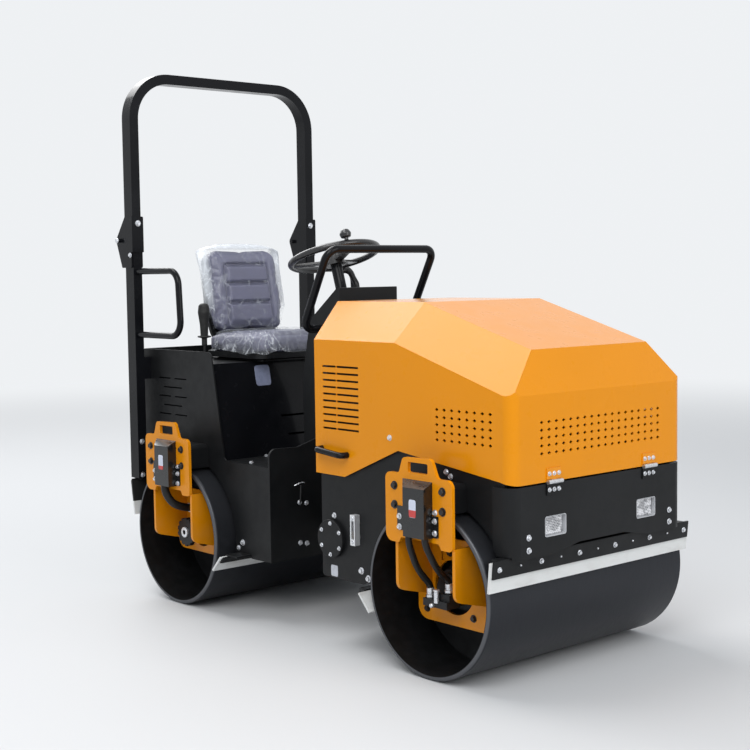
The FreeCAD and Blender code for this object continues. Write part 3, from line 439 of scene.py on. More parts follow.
def cover_black():
    """Black of the hose covers, glossy enough for their sloping tops to catch the sky."""
    f = Finish("cover_black", (0.008, 0.0084, 0.009), 0.3, coat=0.9)
    f.set("Roughness", f.noise(24.0, 3.0).smooth(0.3, 0.7, 0.26, 0.36))
    f.shader.inputs["Specular IOR Level"].default_value = 0.1
    f.shader.inputs["Coat Roughness"].default_value = 0.12
    f.bump(f.noise(300.0, 2.0), 0.06, 0.0004)
    return f.material


def blank_plate():
    """White plate whose lower half is red, as on the hose covers."""
    f = Finish("blank_plate", (0.62, 0.66, 0.78), 0.3, coat=0.4)
    lower = 1 - f.axis("Z").smooth(0.5605, 0.5615)
    raised = f.axis("Z").smooth(0.538, 0.5385)
    f.set("Base Color", f.mix(lower * raised, (0.62, 0.66, 0.78), (0.55, 0.035, 0.03)))
    f.bump(f.noise(80.0, 2.0), 0.06, 0.0004)
    return f.material


def plain_plate(name, colour):
    f = Finish(name, colour, 0.38, coat=0.2)
    f.set("Base Color", f.mix(f.noise(60.0, 4.0).smooth(0.4, 0.75), colour, tuple(c * 0.82 for c in colour)))
    f.bump(f.noise(120.0, 2.0), 0.06, 0.0004)
    return f.material


def wheel_plastic():
    f = Finish("wheel_plastic", (0.012, 0.012, 0.013), 0.3, coat=0.3)
    grain = f.cells(520.0, "DISTANCE_TO_EDGE").smooth(0.0, 0.12)
    f.set("Roughness", f.noise(40.0, 3.0).smooth(0.3, 0.7, 0.24, 0.36))
    f.bump(grain, 0.08, 0.0004)
    return f.material


def gauge_window():
    f = Finish("gauge_window", (0.02, 0.021, 0.023), 0.1, coat=0.4)
    oil = 1 - f.axis("Z").smooth(0.418, 0.419)
    f.set("Base Color", f.mix(oil, (0.02, 0.021, 0.023), (0.045, 0.026, 0.008)))
    return f.material


def floor_finish():
    f = Finish("pale_floor", colours().floor, 0.75)
    out = f.tree.nodes["Material Output"]
    path = f.node("ShaderNodeLightPath")
    glow = f.node("ShaderNodeEmission", None, {"Color": colours().backdrop, "Strength": 1.0})
    away = (f.axis("X") ** 2.0 + f.axis("Y") ** 2.0) ** 0.5
    rays = Number(f, path.outputs["Is Camera Ray"]) + Number(f, path.outputs["Is Glossy Ray"])
    seen = (rays + Number(f, path.outputs["Is Transmission Ray"])) * away.smooth(3.0, 12.0)
    blend = f.node("ShaderNodeMixShader", None, {0: seen, 1: f.shader.outputs[0], 2: glow.outputs[0]})
    f.link(out.inputs["Surface"], blend.outputs[0])
    return f.material


# Surfaces


def grid(points, close_v=False):
    """Quads between neighbouring points of an array (m, n, 3); close_v joins each row's end to its start."""
    m, n = points.shape[:2]
    u = np.arange(m - 1)[:, None]
    v = np.arange(n if close_v else n - 1)[None, :]
    a = u * n + v
    b = u * n + (v + 1) % n
    c = (u + 1) * n + (v + 1) % n
    d = (u + 1) * n + v
    return points.reshape(-1, 3), np.stack([a + 0 * v, b + 0 * u, c, d], axis=-1).reshape(-1, 4)


def piece(name, surfaces, material, body, sharp=35.0):
    """One object from a list of (points, quads), merged where surfaces meet, that rides on a body."""
    points = []
    quads = []
    start = 0
    for p, q in surfaces:
        points.append(p)
        quads.append(q + start)
        start += len(p)
    mesh = bpy.data.meshes.new(name)
    mesh.from_pydata(np.concatenate(points), [], np.concatenate(quads))
    solid = bmesh.new()
    solid.from_mesh(mesh)
    bmesh.ops.remove_doubles(solid, verts=solid.verts, dist=2e-6)
    bmesh.ops.recalc_face_normals(solid, faces=solid.faces)
    solid.to_mesh(mesh)
    solid.free()
    mesh.polygons.foreach_set("use_smooth", np.ones(len(mesh.polygons), bool))
    mesh.set_sharp_from_angle(angle=math.radians(sharp))
    mesh.materials.append(material)
    thing = bpy.data.objects.new(name, mesh)
    bpy.context.scene.collection.objects.link(thing)
    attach(thing, body)
    return thing


def frame_of(normal):
    """Two directions across a normal."""
    normal = np.array(normal, float)
    normal /= np.linalg.norm(normal)
    helper = np.array([0, 0, 1.0]) if abs(normal[2]) < 0.9 else np.array([1.0, 0, 0])
    first = np.cross(helper, normal)
    first /= np.linalg.norm(first)
    return first, np.cross(normal, first), normal


def turned(stations, centres, normal, corners=0, steps=12, twist=0.0):
    """Surfaces of revolution at many places at once. A station is (radius, height, hexagonal or not): the
    radius is kept all round, or follows a regular polygon of that many corners."""
    a, b, n = frame_of(normal)
    angle = np.arange(steps) * 2 * math.pi / steps
    polygon = np.ones(steps)
    if corners:
        part = 2 * math.pi / corners
        polygon = math.cos(part / 2) / np.cos((angle % part) - part / 2)
    ring = np.array([r * (polygon if flat else np.ones(steps)) for r, h, flat in stations])
    height = np.array([h for r, h, flat in stations])
    surfaces = []
    for centre, turn in zip(np.array(centres, float), np.atleast_1d(twist) * np.ones(len(centres))):
        across = np.cos(angle + turn)[None, :, None] * a + np.sin(angle + turn)[None, :, None] * b
        points = centre + ring[..., None] * across + height[:, None, None] * n
        surfaces.append(grid(points, close_v=True))
    return surfaces


def bolts(centres, normal, width, washer=True, seed=1):
    """Hexagonal heads on washers: a disc, then a six-sided prism with a turned chamfer and a shallow dish."""
    r = width / 2
    w = r * 1.42 if washer else r * 1.02
    t = r * 0.16
    h = r * 0.78
    stations = [(0, 0, False), (w, 0, False), (w, t * 0.8, False), (w * 0.97, t, False), (r, t, True),
                (r, t + h * 0.82, True), (r * 0.86, t + h, False), (r * 0.55, t + h, False),
                (r * 0.5, t + h * 0.94, False), (0, t + h * 0.94, False)]
    twist = np.random.default_rng(seed).uniform(0, math.pi / 3, len(centres))
    return turned(stations, centres, normal, 6, 12, twist)


def both_sides(centres):
    """The same places on both sides of the machine, as two lists for the right and the left."""
    right = [(x, -abs(y), z) for x, y, z in centres]
    left = [(x, abs(y), z) for x, y, z in centres]
    return right, left


def side_bolts(centres, width, washer=True, seed=1):
    """Bolts on both flanks, facing outwards."""
    right, left = both_sides(centres)
    return (bolts(right, (0, -1, 0), width, washer, seed) + bolts(left, (0, 1, 0), width, washer, seed + 1))


def slab(centre, normal, width, height, thickness, edge=0.0008, corner=0.15, up=(0, 0, 1)):
    """Thin plate with rounded corners: a superellipse outline, stepped in over its edge."""
    n = np.array(normal, float)
    n /= np.linalg.norm(n)
    v = np.array(up, float)
    v -= n * v.dot(n)
    v /= np.linalg.norm(v)
    u = np.cross(v, n)
    angle = np.linspace(0, 2 * math.pi, 32, endpoint=False)
    power = 2 * corner
    along = np.sign(np.cos(angle)) * np.abs(np.cos(angle)) ** power
    rise = np.sign(np.sin(angle)) * np.abs(np.sin(angle)) ** power
    rows = []
    for inset, h in ((None, 0), (0, 0), (0, thickness - edge), (edge, thickness), (None, thickness)):
        a = 0 if inset is None else width / 2 - inset
        b = 0 if inset is None else height / 2 - inset
        rows.append(np.array(centre) + along[:, None] * a * u + rise[:, None] * b * v + h * n)
    return grid(np.array(rows), close_v=True)


def tube(path, radius, steps=12, ripple=0.0, pitch=0.004):
    """Closed round bar along points. Its radius may ripple by a share of itself, once for each pitch, as a
    bellows hose's does."""
    path = np.array(path, float)
    ahead = np.gradient(path, axis=0)
    ahead /= np.linalg.norm(ahead, axis=1)[:, None]
    helper = np.array([0.13, 0.31, 0.94])
    first = np.cross(ahead, helper)
    first /= np.linalg.norm(first, axis=1)[:, None]
    second = np.cross(ahead, first)
    run = np.concatenate([[0], np.cumsum(np.linalg.norm(np.diff(path, axis=0), axis=1))])
    size = radius * (1 + ripple * np.sin(2 * math.pi * run / pitch))
    angle = np.arange(steps) * 2 * math.pi / steps
    ring = np.cos(angle)[None, :, None] * first[:, None] + np.sin(angle)[None, :, None] * second[:, None]
    points = path[:, None] + size[:, None, None] * ring
    ends = (np.repeat(path[:1, None], steps, 1), np.repeat(path[-1:, None], steps, 1))
    return grid(np.concatenate([ends[0], points, ends[1]]), close_v=True)


def straight(start, end, count):
    t = np.linspace(0, 1, count)[:, None]
    return np.array(start) * (1 - t) + np.array(end) * t


# Operators


class ROLLER_OT_stage(bpy.types.Operator):
    """Pale floor, soft lamps and the camera."""

    bl_idname = "roller.stage"
    bl_label = "Stage"

    def execute(self, context):
        scene = context.scene
        scene.view_settings.view_transform = "Standard"
        reach = 40.0
        t = np.linspace(-reach, reach, 9)
        x, y = np.meshgrid(t, t, indexing="ij")
        points, quads = grid(np.stack([x, y, 0 * x - 0.0005], axis=-1))
        mesh = bpy.data.meshes.new("floor")
        mesh.from_pydata(points, [], quads)
        floor = bpy.data.objects.new("floor", mesh)
        scene.collection.objects.link(floor)
        floor.data.materials.append(floor_finish())

        # Lamps: name, place, aim, size, watts
        lamps = [("key_lamp", (3.2, -4.4, 5.2), (0.2, 0, 0.7), 4.2, 250),
                 ("nose_lamp", (6.5, 0.6, 3.4), (0.6, 0, 0.8), 4.0, 150),
                 ("sky_lamp", (-2.2, -1.0, 7.6), (0.2, 0, 0.8), 3.4, 200),
                 ("rear_lamp", (-6.4, 0.9, 6.2), (0.2, 0, 1.0), 5.4, 350)]
        for name, place, aim, size, watts in lamps:
            data = bpy.data.lights.new(name, "AREA")
            data.size = size
            data.energy = watts
            lamp = bpy.data.objects.new(name, data)
            scene.collection.objects.link(lamp)
            lamp.location = place
            lamp.rotation_mode = "QUATERNION"
            lamp.rotation_quaternion = (Vector(place) - Vector(aim)).to_track_quat("Z", "Y")

        world = bpy.data.worlds.new("studio")
        scene.world = world
        world.use_nodes = True
        nodes = world.node_tree.nodes
        links = world.node_tree.links
        nodes.clear()
        out = nodes.new("ShaderNodeOutputWorld")
        soft = nodes.new("ShaderNodeBackground")
        soft.inputs[0].default_value = (0.86, 0.92, 1.0, 1)
        soft.inputs[1].default_value = 0.42
        seen = nodes.new("ShaderNodeBackground")
        seen.inputs[0].default_value = (*colours().backdrop, 1)
        seen.inputs[1].default_value = 1.0
        path = nodes.new("ShaderNodeLightPath")
        blend = nodes.new("ShaderNodeMixShader")
        total = path.outputs["Is Camera Ray"]
        for ray in ("Is Glossy Ray", "Is Transmission Ray"):
            either = nodes.new("ShaderNodeMath")
            links.new(total, either.inputs[0])
            links.new(path.outputs[ray], either.inputs[1])
            total = either.outputs[0]
        links.new(total, blend.inputs[0])
        links.new(soft.outputs[0], blend.inputs[1])
        links.new(seen.outputs[0], blend.inputs[2])
        links.new(blend.outputs[0], out.inputs[0])

        data = bpy.data.cameras.new("camera")
        data.sensor_width = 36.0
        data.lens = 66.48
        data.clip_end = 200.0
        camera = bpy.data.objects.new("camera", data)
        scene.collection.objects.link(camera)
        azimuth, fall, roll = (math.radians(v) for v in (48.8, 4.3, 0.8))
        back = Vector((math.sin(azimuth) * math.cos(fall), -math.cos(azimuth) * math.cos(fall), math.sin(fall)))
        level = Vector((math.cos(azimuth), math.sin(azimuth), 0))
        rise = back.cross(level)
        right = level * math.cos(roll) - rise * math.sin(roll)
        up = level * math.sin(roll) + rise * math.cos(roll)
        turn = Matrix((right, up, back)).transposed().to_4x4()
        camera.matrix_world = Matrix.Translation((3.9298, -3.4657, 1.3107)) @ turn
        scene.camera = camera
        return {"FINISHED"}


class ROLLER_OT_finishes(bpy.types.Operator):
    """Gives every node of the frame its finish."""

    bl_idname = "roller.finishes"
    bl_label = "Finishes"

    def execute(self, context):
        yellow = machine_yellow()
        black = frame_black()
        gloss = tube_black()
        iron = motor_iron()
        plates = zinc("zinc_plate")
        finishes = {
            yellow: ["hood", "front_forks", "rear_forks"],
            black: ["front_side_plates", "front_bay", "front_bumper", "front_fork_arms", "rear_fork_arms",
                    "front_scraper_bars", "rear_scraper_bars", "rear_side_plates", "rear_front_wall",
                    "centre_joint_yoke", "rear_floor", "seat_deck", "rear_panel", "rear_drum_guard",
                    "seat_rails", "seat_base", "side_service_cover",
                    "steering_console"],
            cover_black(): ["front_hose_covers", "rear_hose_covers"],
            gloss: ["seat_front_panel", "rops_posts", "rops_hoop", "handrail", "grab_handle", "hood_handles",
                    "steering_column"],
            iron: ["engine_block", "front_drum_heads", "rear_drum_heads", "front_drum_carriers",
                   "rear_drum_carriers", "front_drum_motors", "rear_drum_motors"],
            rubber(): ["front_drum_buffers", "rear_drum_buffers", "control_lever"],
            hose_rubber(): ["front_motor_hoses", "rear_motor_hoses", "column_cable_tube"],
            plates: ["centre_pin"],
            hinge_finish("hinge_black", colours().frame_black, 0.0): ["hood_hinge_frame_leaves"],
            hinge_finish("hinge_yellow", colours().machine, 0.4): ["hood_hinge_leaves"],
            blade_plastic(): ["front_scraper_blades", "rear_scraper_blades"],
            lamp_housing(): ["work_lights"],
            lamp_glass(): ["work_light_lenses"],
            light_grey_casting(): ["oil_level_gauge"],
            wheel_plastic(): ["steering_wheel", "steering_knob"],
            seat_vinyl("hidden_vinyl"): ["seat_cushion", "seat_backrest"],
            drum_steel("front_drum_steel", FRONT_X): ["front_drum_shell"],
            drum_steel("rear_drum_steel", REAR_X): ["rear_drum_shell"],
        }
        done = set()
        for material, names in finishes.items():
            for name in names:
                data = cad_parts[name].data
                data.materials.clear()
                data.materials.append(material)
                done.add(name)
        missing = sorted(set(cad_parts) - done)
        if missing:
            raise RuntimeError(f"nodes without a finish: {missing}")
        return {"FINISHED"}


class ROLLER_OT_fasteners(bpy.types.Operator):
    """Bolts of the forks: the fork plates', the cover tabs' and the inner plates' bolts on both frames."""

    bl_idname = "roller.fasteners"
    bl_label = "Fasteners"

    def execute(self, context):
        large, medium = sizes().large_bolt, sizes().medium_bolt
        steel = zinc()
        dark = black_bolt()
        for name, axle, rise in (("front", FRONT_X, 0.0), ("rear", REAR_X, 0.003)):
            body = name + "_frame"
            near, far = (-0.108, 0.113) if name == "front" else (-0.113, 0.104)
            plate = [(axle + u, FORK_OUT, v + rise)
                     for u, v in ((near, 0.623), (near, 0.561), (far, 0.625), (far, 0.562))]
            piece(name + "_fork_bolts", side_bolts(plate, large, True, 3), dark, body)
            tabs = [(axle + u, FORK_OUT + 0.003, v + rise) for u, v in ((-0.083, 0.526), (-0.083, 0.492),
                                                                       (0.080, 0.529), (0.080, 0.491))]
            tabs += [(axle + 0.079, FORK_OUT, 0.5555 + rise)]
            piece(name + "_cover_bolts", side_bolts(tabs, medium, True, 5), steel, body)
            inner = [(axle + u, 0.355, v) for u, v in ((-0.129, 0.191), (0.086, 0.193), (-0.020, 0.392))]
            if name == "rear":
                inner = [(axle + u, 0.355, v) for u, v in ((-0.128, 0.226), (0.120, 0.226), (-0.020, 0.392))]
            piece(name + "_inner_plate_bolts", side_bolts(inner, large * 0.9, True, 7), dark, body)
        return {"FINISHED"}


class ROLLER_OT_frame_fittings(bpy.types.Operator):
    """Bolts, plates and small fittings of both frames."""

    bl_idname = "roller.frame_fittings"
    bl_label = "Frame fittings"

    def execute(self, context):
        medium, small = sizes().medium_bolt, sizes().small_bolt
        steel = zinc("zinc_fittings")
        flank = [(FRONT_X + 0.026, FRAME_HALF, 0.668), (FRONT_X + 0.046, FRAME_HALF, 0.655)]
        surfaces = side_bolts(flank, medium, True, 11)
        right = [(FRONT_X - 0.396, -FRAME_HALF, 0.283), (FRONT_X - 0.360, -FRAME_HALF, 0.261)]
        surfaces += bolts(right, (0, -1, 0), medium * 1.2, True, 13)
        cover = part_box("side_service_cover")
        cx = (cover[0].x + cover[1].x) / 2
        cz = (cover[0].z + cover[1].z) / 2
        face = cover[0].y
        ring = [(cx + 0.004 + 0.055 * math.sin(k * math.pi / 3), face, cz + 0.055 * math.cos(k * math.pi / 3))
                for k in range(6)]
        surfaces += bolts(ring, (0, -1, 0), small, True, 17)
        surfaces += bolts([(cx + 0.010, -FRAME_HALF, cz + 0.082)], (0, -1, 0), medium, True, 19)
        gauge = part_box("oil_level_gauge")
        for z in (gauge[0].z + 0.013, gauge[1].z - 0.013):
            surfaces += bolts([((gauge[0].x + gauge[1].x) / 2, gauge[0].y, z)], (0, -1, 0), small, False, 23)
        bumper = [(NOSE_X, y, z) for y in (-0.351, 0.351) for z in (0.487, 0.447)]
        surfaces += bolts(bumper, (1, 0, 0), medium, True, 29)
        piece("front_frame_bolts", surfaces, steel, "front_frame")

        wall = [(WALL_X + 0.010, side * y, z) for side in (-1, 1) for y, z in ((0.261, 0.440), (0.229, 0.434),
                                                                             (0.261, 0.285), (0.229, 0.279))]
        surfaces = bolts(wall, (1, 0, 0), medium, True, 31)
        floor_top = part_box("rear_floor")[1].z
        floor = [(x, side * y, floor_top) for side in (-1, 1) for x, y in ((-0.339, 0.363), (-0.455, 0.205))]
        surfaces += bolts(floor, (0, 0, 1), medium, True, 37)
        surfaces += bolts([(-0.353, -BODY_HALF, 0.280)], (0, -1, 0), medium * 1.2, True, 38)
        surfaces += bolts([(-0.380, -BODY_HALF, 0.257)], (0, -1, 0), medium, True, 39)
        # Wire hook on the wall that holds the end of a dark rod
        face = WALL_X + 0.014
        bend = np.linspace(0, 1, 25)[:, None]
        hook = np.concatenate([face + 0.010 * np.sin(math.pi * bend), -0.288 + 0.048 * bend,
                               0.507 + 0.010 * np.sin(2.5 * bend)], axis=1)
        surfaces.append(tube(hook, 0.0019, 10))
        piece("rear_frame_bolts", surfaces, steel, "rear_frame")
        rod = straight((face + 0.009, -0.263, 0.507), (face + 0.004, -0.263, 0.440), 8)
        piece("wall_rod", [tube(rod, 0.0036, 10)], black_bolt(), "rear_frame")
        seat_plate = plain_plate("seat_panel_label", (0.26, 0.29, 0.42))
        piece("seat_panel_plate", [slab((-0.5425, -0.150, 0.899), (1, 0, 0.2037), 0.074, 0.084, 0.0015)],
              seat_plate, "rear_frame")

        frame_plate = plain_plate("pale_plate", (0.55, 0.57, 0.62))
        piece("frame_plate_right", [slab((FRONT_X - 0.5425, -FRAME_HALF, 0.261), (0, -1, 0), 0.037, 0.040, 0.0012)],
              frame_plate, "front_frame")
        gauge_face = gauge[0].y + 0.0069
        middle = ((gauge[0].x + gauge[1].x) / 2, gauge_face, (gauge[0].z + gauge[1].z) / 2)
        piece("gauge_glass", [slab(middle, (0, -1, 0), 0.0138, 0.0636, 0.0012, 0.0003, 0.05)], gauge_window(),
              "front_frame")
        cover_plate = blank_plate()
        for name, axle, rise in (("front", FRONT_X, 0.0), ("rear", REAR_X, 0.009)):
            surfaces = []
            for side in (-1, 1):
                surfaces.append(slab((axle + 0.0155, side * COVER_OUT, 0.5655 + rise), (0, side, 0), 0.032, 0.057,
                                     0.0010))
            piece(name + "_cover_plates", surfaces, cover_plate, name + "_frame")
        return {"FINISHED"}


class ROLLER_OT_hinge_bolts(bpy.types.Operator):
    """Bolts of the hood's hinges and flanks."""

    bl_idname = "roller.hinge_bolts"
    bl_label = "Hinge bolts"

    def execute(self, context):
        small, medium = sizes().small_bolt, sizes().medium_bolt
        steel = zinc("zinc_hinges")
        leaf = HINGE_X - 0.004
        columns = [s * 0.237 + d for s in (-1, 1) for d in (-0.022, 0.0, 0.022)]
        low = [(leaf, y, HINGE_Z - 0.025) for y in columns]
        high = [(leaf, y, HINGE_Z + 0.025) for y in columns]
        piece("hinge_frame_bolts", bolts(low, (1, 0, 0), small, True, 41), steel, "front_frame")
        surfaces = bolts(high, (1, 0, 0), small, True, 43)
        hood_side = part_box("hood")[1].y
        surfaces += side_bolts([(FRONT_X - 0.229, hood_side, 0.758)], medium, True, 47)
        piece("hood_bolts", surfaces, steel, "hood")
        return {"FINISHED"}


class ROLLER_OT_scraper_bolts(bpy.types.Operator):
    """Bolts and pins along the front scraper's bar."""

    bl_idname = "roller.scraper_bolts"
    bl_label = "Scraper bolts"

    def execute(self, context):
        medium = sizes().medium_bolt
        steel = zinc("zinc_scraper")
        spread = [-0.460, -0.271, -0.089, 0.089, 0.271, 0.460]
        pins = [-0.366, -0.180, 0.0, 0.180, 0.366]
        surfaces = []
        normal = (0.9952, 0, -0.0982)
        spot = (FRONT_X + 0.3018, 0.4007)
        surfaces += bolts([(spot[0], y, spot[1]) for y in spread], normal, medium * 0.9, True, 53)
        surfaces += turned([(0, 0, False), (0.0032, 0, False), (0.0032, 0.003, False), (0.0018, 0.0045, False),
                            (0, 0.0045, False)], [(spot[0], y, spot[1] + 0.0013) for y in pins], normal)
        piece("front_scraper_bolts", surfaces, steel, "front_frame")
        return {"FINISHED"}


class ROLLER_OT_hoop_bolts(bpy.types.Operator):
    """Bolts, latch pins and washers of the folding hoop and its posts."""

    bl_idname = "roller.hoop_bolts"
    bl_label = "Hoop bolts"

    def execute(self, context):
        medium = sizes().medium_bolt
        steel = zinc("zinc_hoop")
        feet = [(-0.976, side * 0.452, z) for side in (-1, 1) for z in (0.622, 0.484)]
        surfaces = bolts(feet, (1, 0, 0), medium * 1.1, True, 61)
        pins = [(0, 0, False), (0.0105, 0, False), (0.0105, 0.004, False), (0.0095, 0.006, False),
                (0.0040, 0.006, False), (0, 0.006, False)]
        for side in (-1, 1):
            surfaces += turned(pins, [(-1.063, side * 0.4905, 1.449)], (0, side, 0), 0, 20)
        piece("hoop_post_bolts", surfaces, steel, "rear_frame")
        surfaces = bolts([(-0.969, side * 0.449, 1.517) for side in (-1, 1)], (1, 0, 0), medium * 1.2, True, 67)
        surfaces += side_bolts([(-0.987, 0.478, 1.388)], medium, True, 71)
        piece("hoop_bracket_bolts", surfaces, steel, "rops_hoop")
        return {"FINISHED"}


def prisms(centre, half_width, half_height, x, pitch=0.0105, depth=0.0016, fine=0.00175):
    """Pyramid facets on a lamp's face: the height is the sum of two triangle waves, one along each diagonal;
    it falls to nothing at the rim, and a flat back closes it."""
    y = np.arange(-half_width, half_width + fine / 2, fine)
    z = np.arange(-half_height, half_height + fine / 2, fine)
    y, z = np.meshgrid(y, z, indexing="ij")
    rise = sum(np.abs(((y + way * z) / pitch) % 1.0 - 0.5) for way in (-1, 1))
    rim = np.minimum(half_width - np.abs(y), half_height - np.abs(z))
    height = depth * rise * np.clip(rim / fine, 0, 1)
    front = np.stack([x + 0.0004 + height, centre[0] + y, centre[1] + z], axis=-1)
    back = front.copy()
    back[..., 0] = x - 0.0002
    m, n = y.shape
    i = np.concatenate([np.arange(m), np.full(n - 1, m - 1), np.arange(m - 2, -1, -1), np.zeros(n - 2, int)])
    j = np.concatenate([np.zeros(m, int), np.arange(1, n), np.full(m - 1, n - 1), np.arange(n - 2, 0, -1)])
    rim = np.stack([front[i, j], back[i, j]])
    return [grid(front), grid(back[::-1]), grid(rim, close_v=True)]


class ROLLER_OT_lamps(bpy.types.Operator):
    """Prismatic faces of the work lights."""

    bl_idname = "roller.lamps"
    bl_label = "Work light faces"

    def execute(self, context):
        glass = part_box("work_light_lenses")
        z = (glass[0].z + glass[1].z) / 2
        half_height = (glass[1].z - glass[0].z) / 2 - 0.001
        half_width = 0.0465
        middle = glass[1].y - 0.0475
        surfaces = []
        for side in (-1, 1):
            surfaces += prisms((side * middle, z), half_width, half_height, glass[1].x)
        piece("work_light_faces", surfaces, lamp_prisms(), "front_frame", 12.0)
        return {"FINISHED"}


class ROLLER_OT_hose_ends(bpy.types.Operator):
    """Crimped ends and nuts where the hoses meet the motors."""

    bl_idname = "roller.hose_ends"
    bl_label = "Hose ends"

    def execute(self, context):
        steel = zinc("zinc_ferrules")
        surfaces = []
        # Ends of the front hoses: along, outward, height, radius
        for along, out, height in ((-0.045, 0.420, 0.254), (0.028, 0.408, 0.278)):
            ferrule = [(0, 0, False), (0.0158, 0, True), (0.0158, 0.008, True), (0.0122, 0.010, False),
                       (0.0122, 0.015, False), (0.0129, 0.017, False), (0.0122, 0.019, False),
                       (0.0129, 0.022, False), (0.0122, 0.025, False), (0.0129, 0.028, False),
                       (0.0118, 0.031, False), (0, 0.031, False)]
            centres = [(FRONT_X + along, s * out, height) for s in (-1, 1)]
            surfaces += turned(ferrule, centres, (0, 0, 1), 6, 18)
        pipe = [(0, 0, False), (0.0085, 0, False), (0.0085, 0.036, False), (0.0100, 0.038, False),
                (0.0100, 0.043, False), (0, 0.043, False)]
        nut = [(0, 0, False), (0.0080, 0, True), (0.0080, 0.008, True), (0.0060, 0.010, False), (0, 0.010, False)]
        for side in (-1, 1):
            surfaces += turned(pipe, [(FRONT_X + 0.003, side * 0.440, 0.245)], (0, 0, 1), 0, 18)
            surfaces += turned(nut, [(FRONT_X - 0.015, side * 0.440, 0.234)], (0, side, 0), 6, 12)
        piece("front_hose_ends", surfaces, steel, "front_frame")
        surfaces = []
        for side in (-1, 1):
            ferrule = [(0, 0, False), (0.0215, 0, True), (0.0215, 0.010, True), (0.0178, 0.012, False),
                       (0.0178, 0.018, False), (0.0188, 0.020, False), (0.0178, 0.022, False),
                       (0.0188, 0.026, False), (0.0176, 0.030, False), (0, 0.030, False)]
            surfaces += turned(ferrule, [(REAR_X + 0.028, side * 0.404, 0.382)], (0, side, 0), 6, 18)
            collar = [(0.0201, 0, False), (0.0208, 0, False), (0.0208, 0.0072, False), (0.0200, 0.0080, False),
                      (0.0095, 0.0080, False), (0.0092, 0.0071, False), (0.0201, 0.0071, False),
                      (0.0201, 0, False)]
            surfaces += turned(collar, [(REAR_X, side * 0.4345, AXLE_Z)], (0, side, 0), 0, 24)
        piece("rear_hose_ends", surfaces, steel, "rear_frame")
        return {"FINISHED"}


class ROLLER_OT_engine(bpy.types.Operator):
    """Fins, rocker cover, air filter, silencer and fan on the engine block. The fan shows from behind, the
    rest when the hood is up."""

    bl_idname = "roller.engine"
    bl_label = "Engine"

    def execute(self, context):
        low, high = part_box("engine_block")
        side, top = high.y, high.z
        steel = zinc("zinc_engine", (0.55, 0.56, 0.58))
        fins = []
        for way in (-1, 1):
            fins += [slab((x, way * side, 0.835), (0, way, 0), 0.007, 0.21, 0.016, 0.001, 0.3)
                     for x in np.linspace(low.x + 0.045, high.x - 0.105, 13)]
        middle = low.x + 0.235
        fins.append(slab((middle, 0, top), (0, 0, 1), 0.17, 0.25, 0.026, 0.008, 0.2, (1, 0, 0)))
        fins += [slab((middle, y, top + 0.0255), (0, 0, 1), 0.010, 0.19, 0.006, 0.002, 0.2, (1, 0, 0))
                 for y in np.linspace(-0.055, 0.055, 5)]
        piece("engine_fins", fins, motor_iron(), "front_frame")

        can = [(0, 0, False), (0.048, 0, False), (0.056, 0.008, False), (0.059, 0.060, False), (0.061, 0.062, False),
               (0.061, 0.070, False), (0.057, 0.072, False), (0.057, 0.190, False), (0.060, 0.194, False),
               (0.060, 0.228, False), (0.050, 0.238, False), (0, 0.238, False)]
        body = turned(can, [(low.x + 0.062, -0.13, top + 0.060)], (0, 1, 0), 0, 40)
        bend = np.linspace(0, math.pi / 2, 14)
        elbow = np.stack([low.x + 0.062 + 0.055 * (1 - np.cos(bend)), 0.100 + 0.030 * np.sin(2 * bend),
                          top + 0.055 - 0.050 * np.sin(bend)], axis=1)
        body.append(tube(elbow, 0.021, 20, 0.05, 0.006))
        piece("engine_air_filter", body, rubber(), "front_frame")

        shell = [(0, 0, False), (0.020, 0, False), (0.046, 0.012, False), (0.052, 0.030, False), (0.052, 0.290, False),
                 (0.046, 0.308, False), (0.020, 0.320, False), (0, 0.320, False)]
        silencer = turned(shell, [(low.x + 0.05, 0.262, 0.930)], (1, 0, 0), 0, 36)
        for x in (low.x + 0.12, low.x + 0.29):
            pipe = np.stack([x + 0 * bend, side - 0.004 + 0.060 * np.sin(bend),
                             0.885 + 0.040 * (1 - np.cos(bend))], axis=1)
            silencer.append(tube(pipe, 0.016, 18))
        piece("engine_silencer", silencer, zinc("silencer_steel", (0.30, 0.29, 0.28)), "front_frame")

        fan = turned([(0.120, 0, False), (0.130, 0, False), (0.130, 0.034, False), (0.120, 0.034, False),
                      (0.120, 0, False)], [(low.x, 0, 0.840)], (-1, 0, 0), 0, 48)
        fan += turned([(0, 0, False), (0.034, 0, False), (0.034, 0.026, False), (0.028, 0.032, False),
                       (0, 0.032, False)], [(low.x, 0, 0.840)], (-1, 0, 0), 0, 24)
        for turn in np.arange(9) * 2 * math.pi / 9:
            out = np.array([0, math.cos(turn), math.sin(turn)])
            lean = np.cross((1, 0, 0), out) * 0.55 + np.array([-1, 0, 0])
            spot = np.array([low.x - 0.015, 0, 0.840]) + 0.074 * out
            fan.append(slab(spot, lean, 0.034, 0.082, 0.0025, 0.0006, 0.3, out))
        piece("engine_fan", fan, wheel_plastic(), "front_frame")
        corners = [(middle + a * 0.105, b * 0.072, top + 0.0255) for a in (-1, 0, 1) for b in (-1, 1)]
        piece("engine_cover_bolts", bolts(corners, (0, 0, 1), sizes().medium_bolt, True, 83), steel, "front_frame")
        return {"FINISHED"}


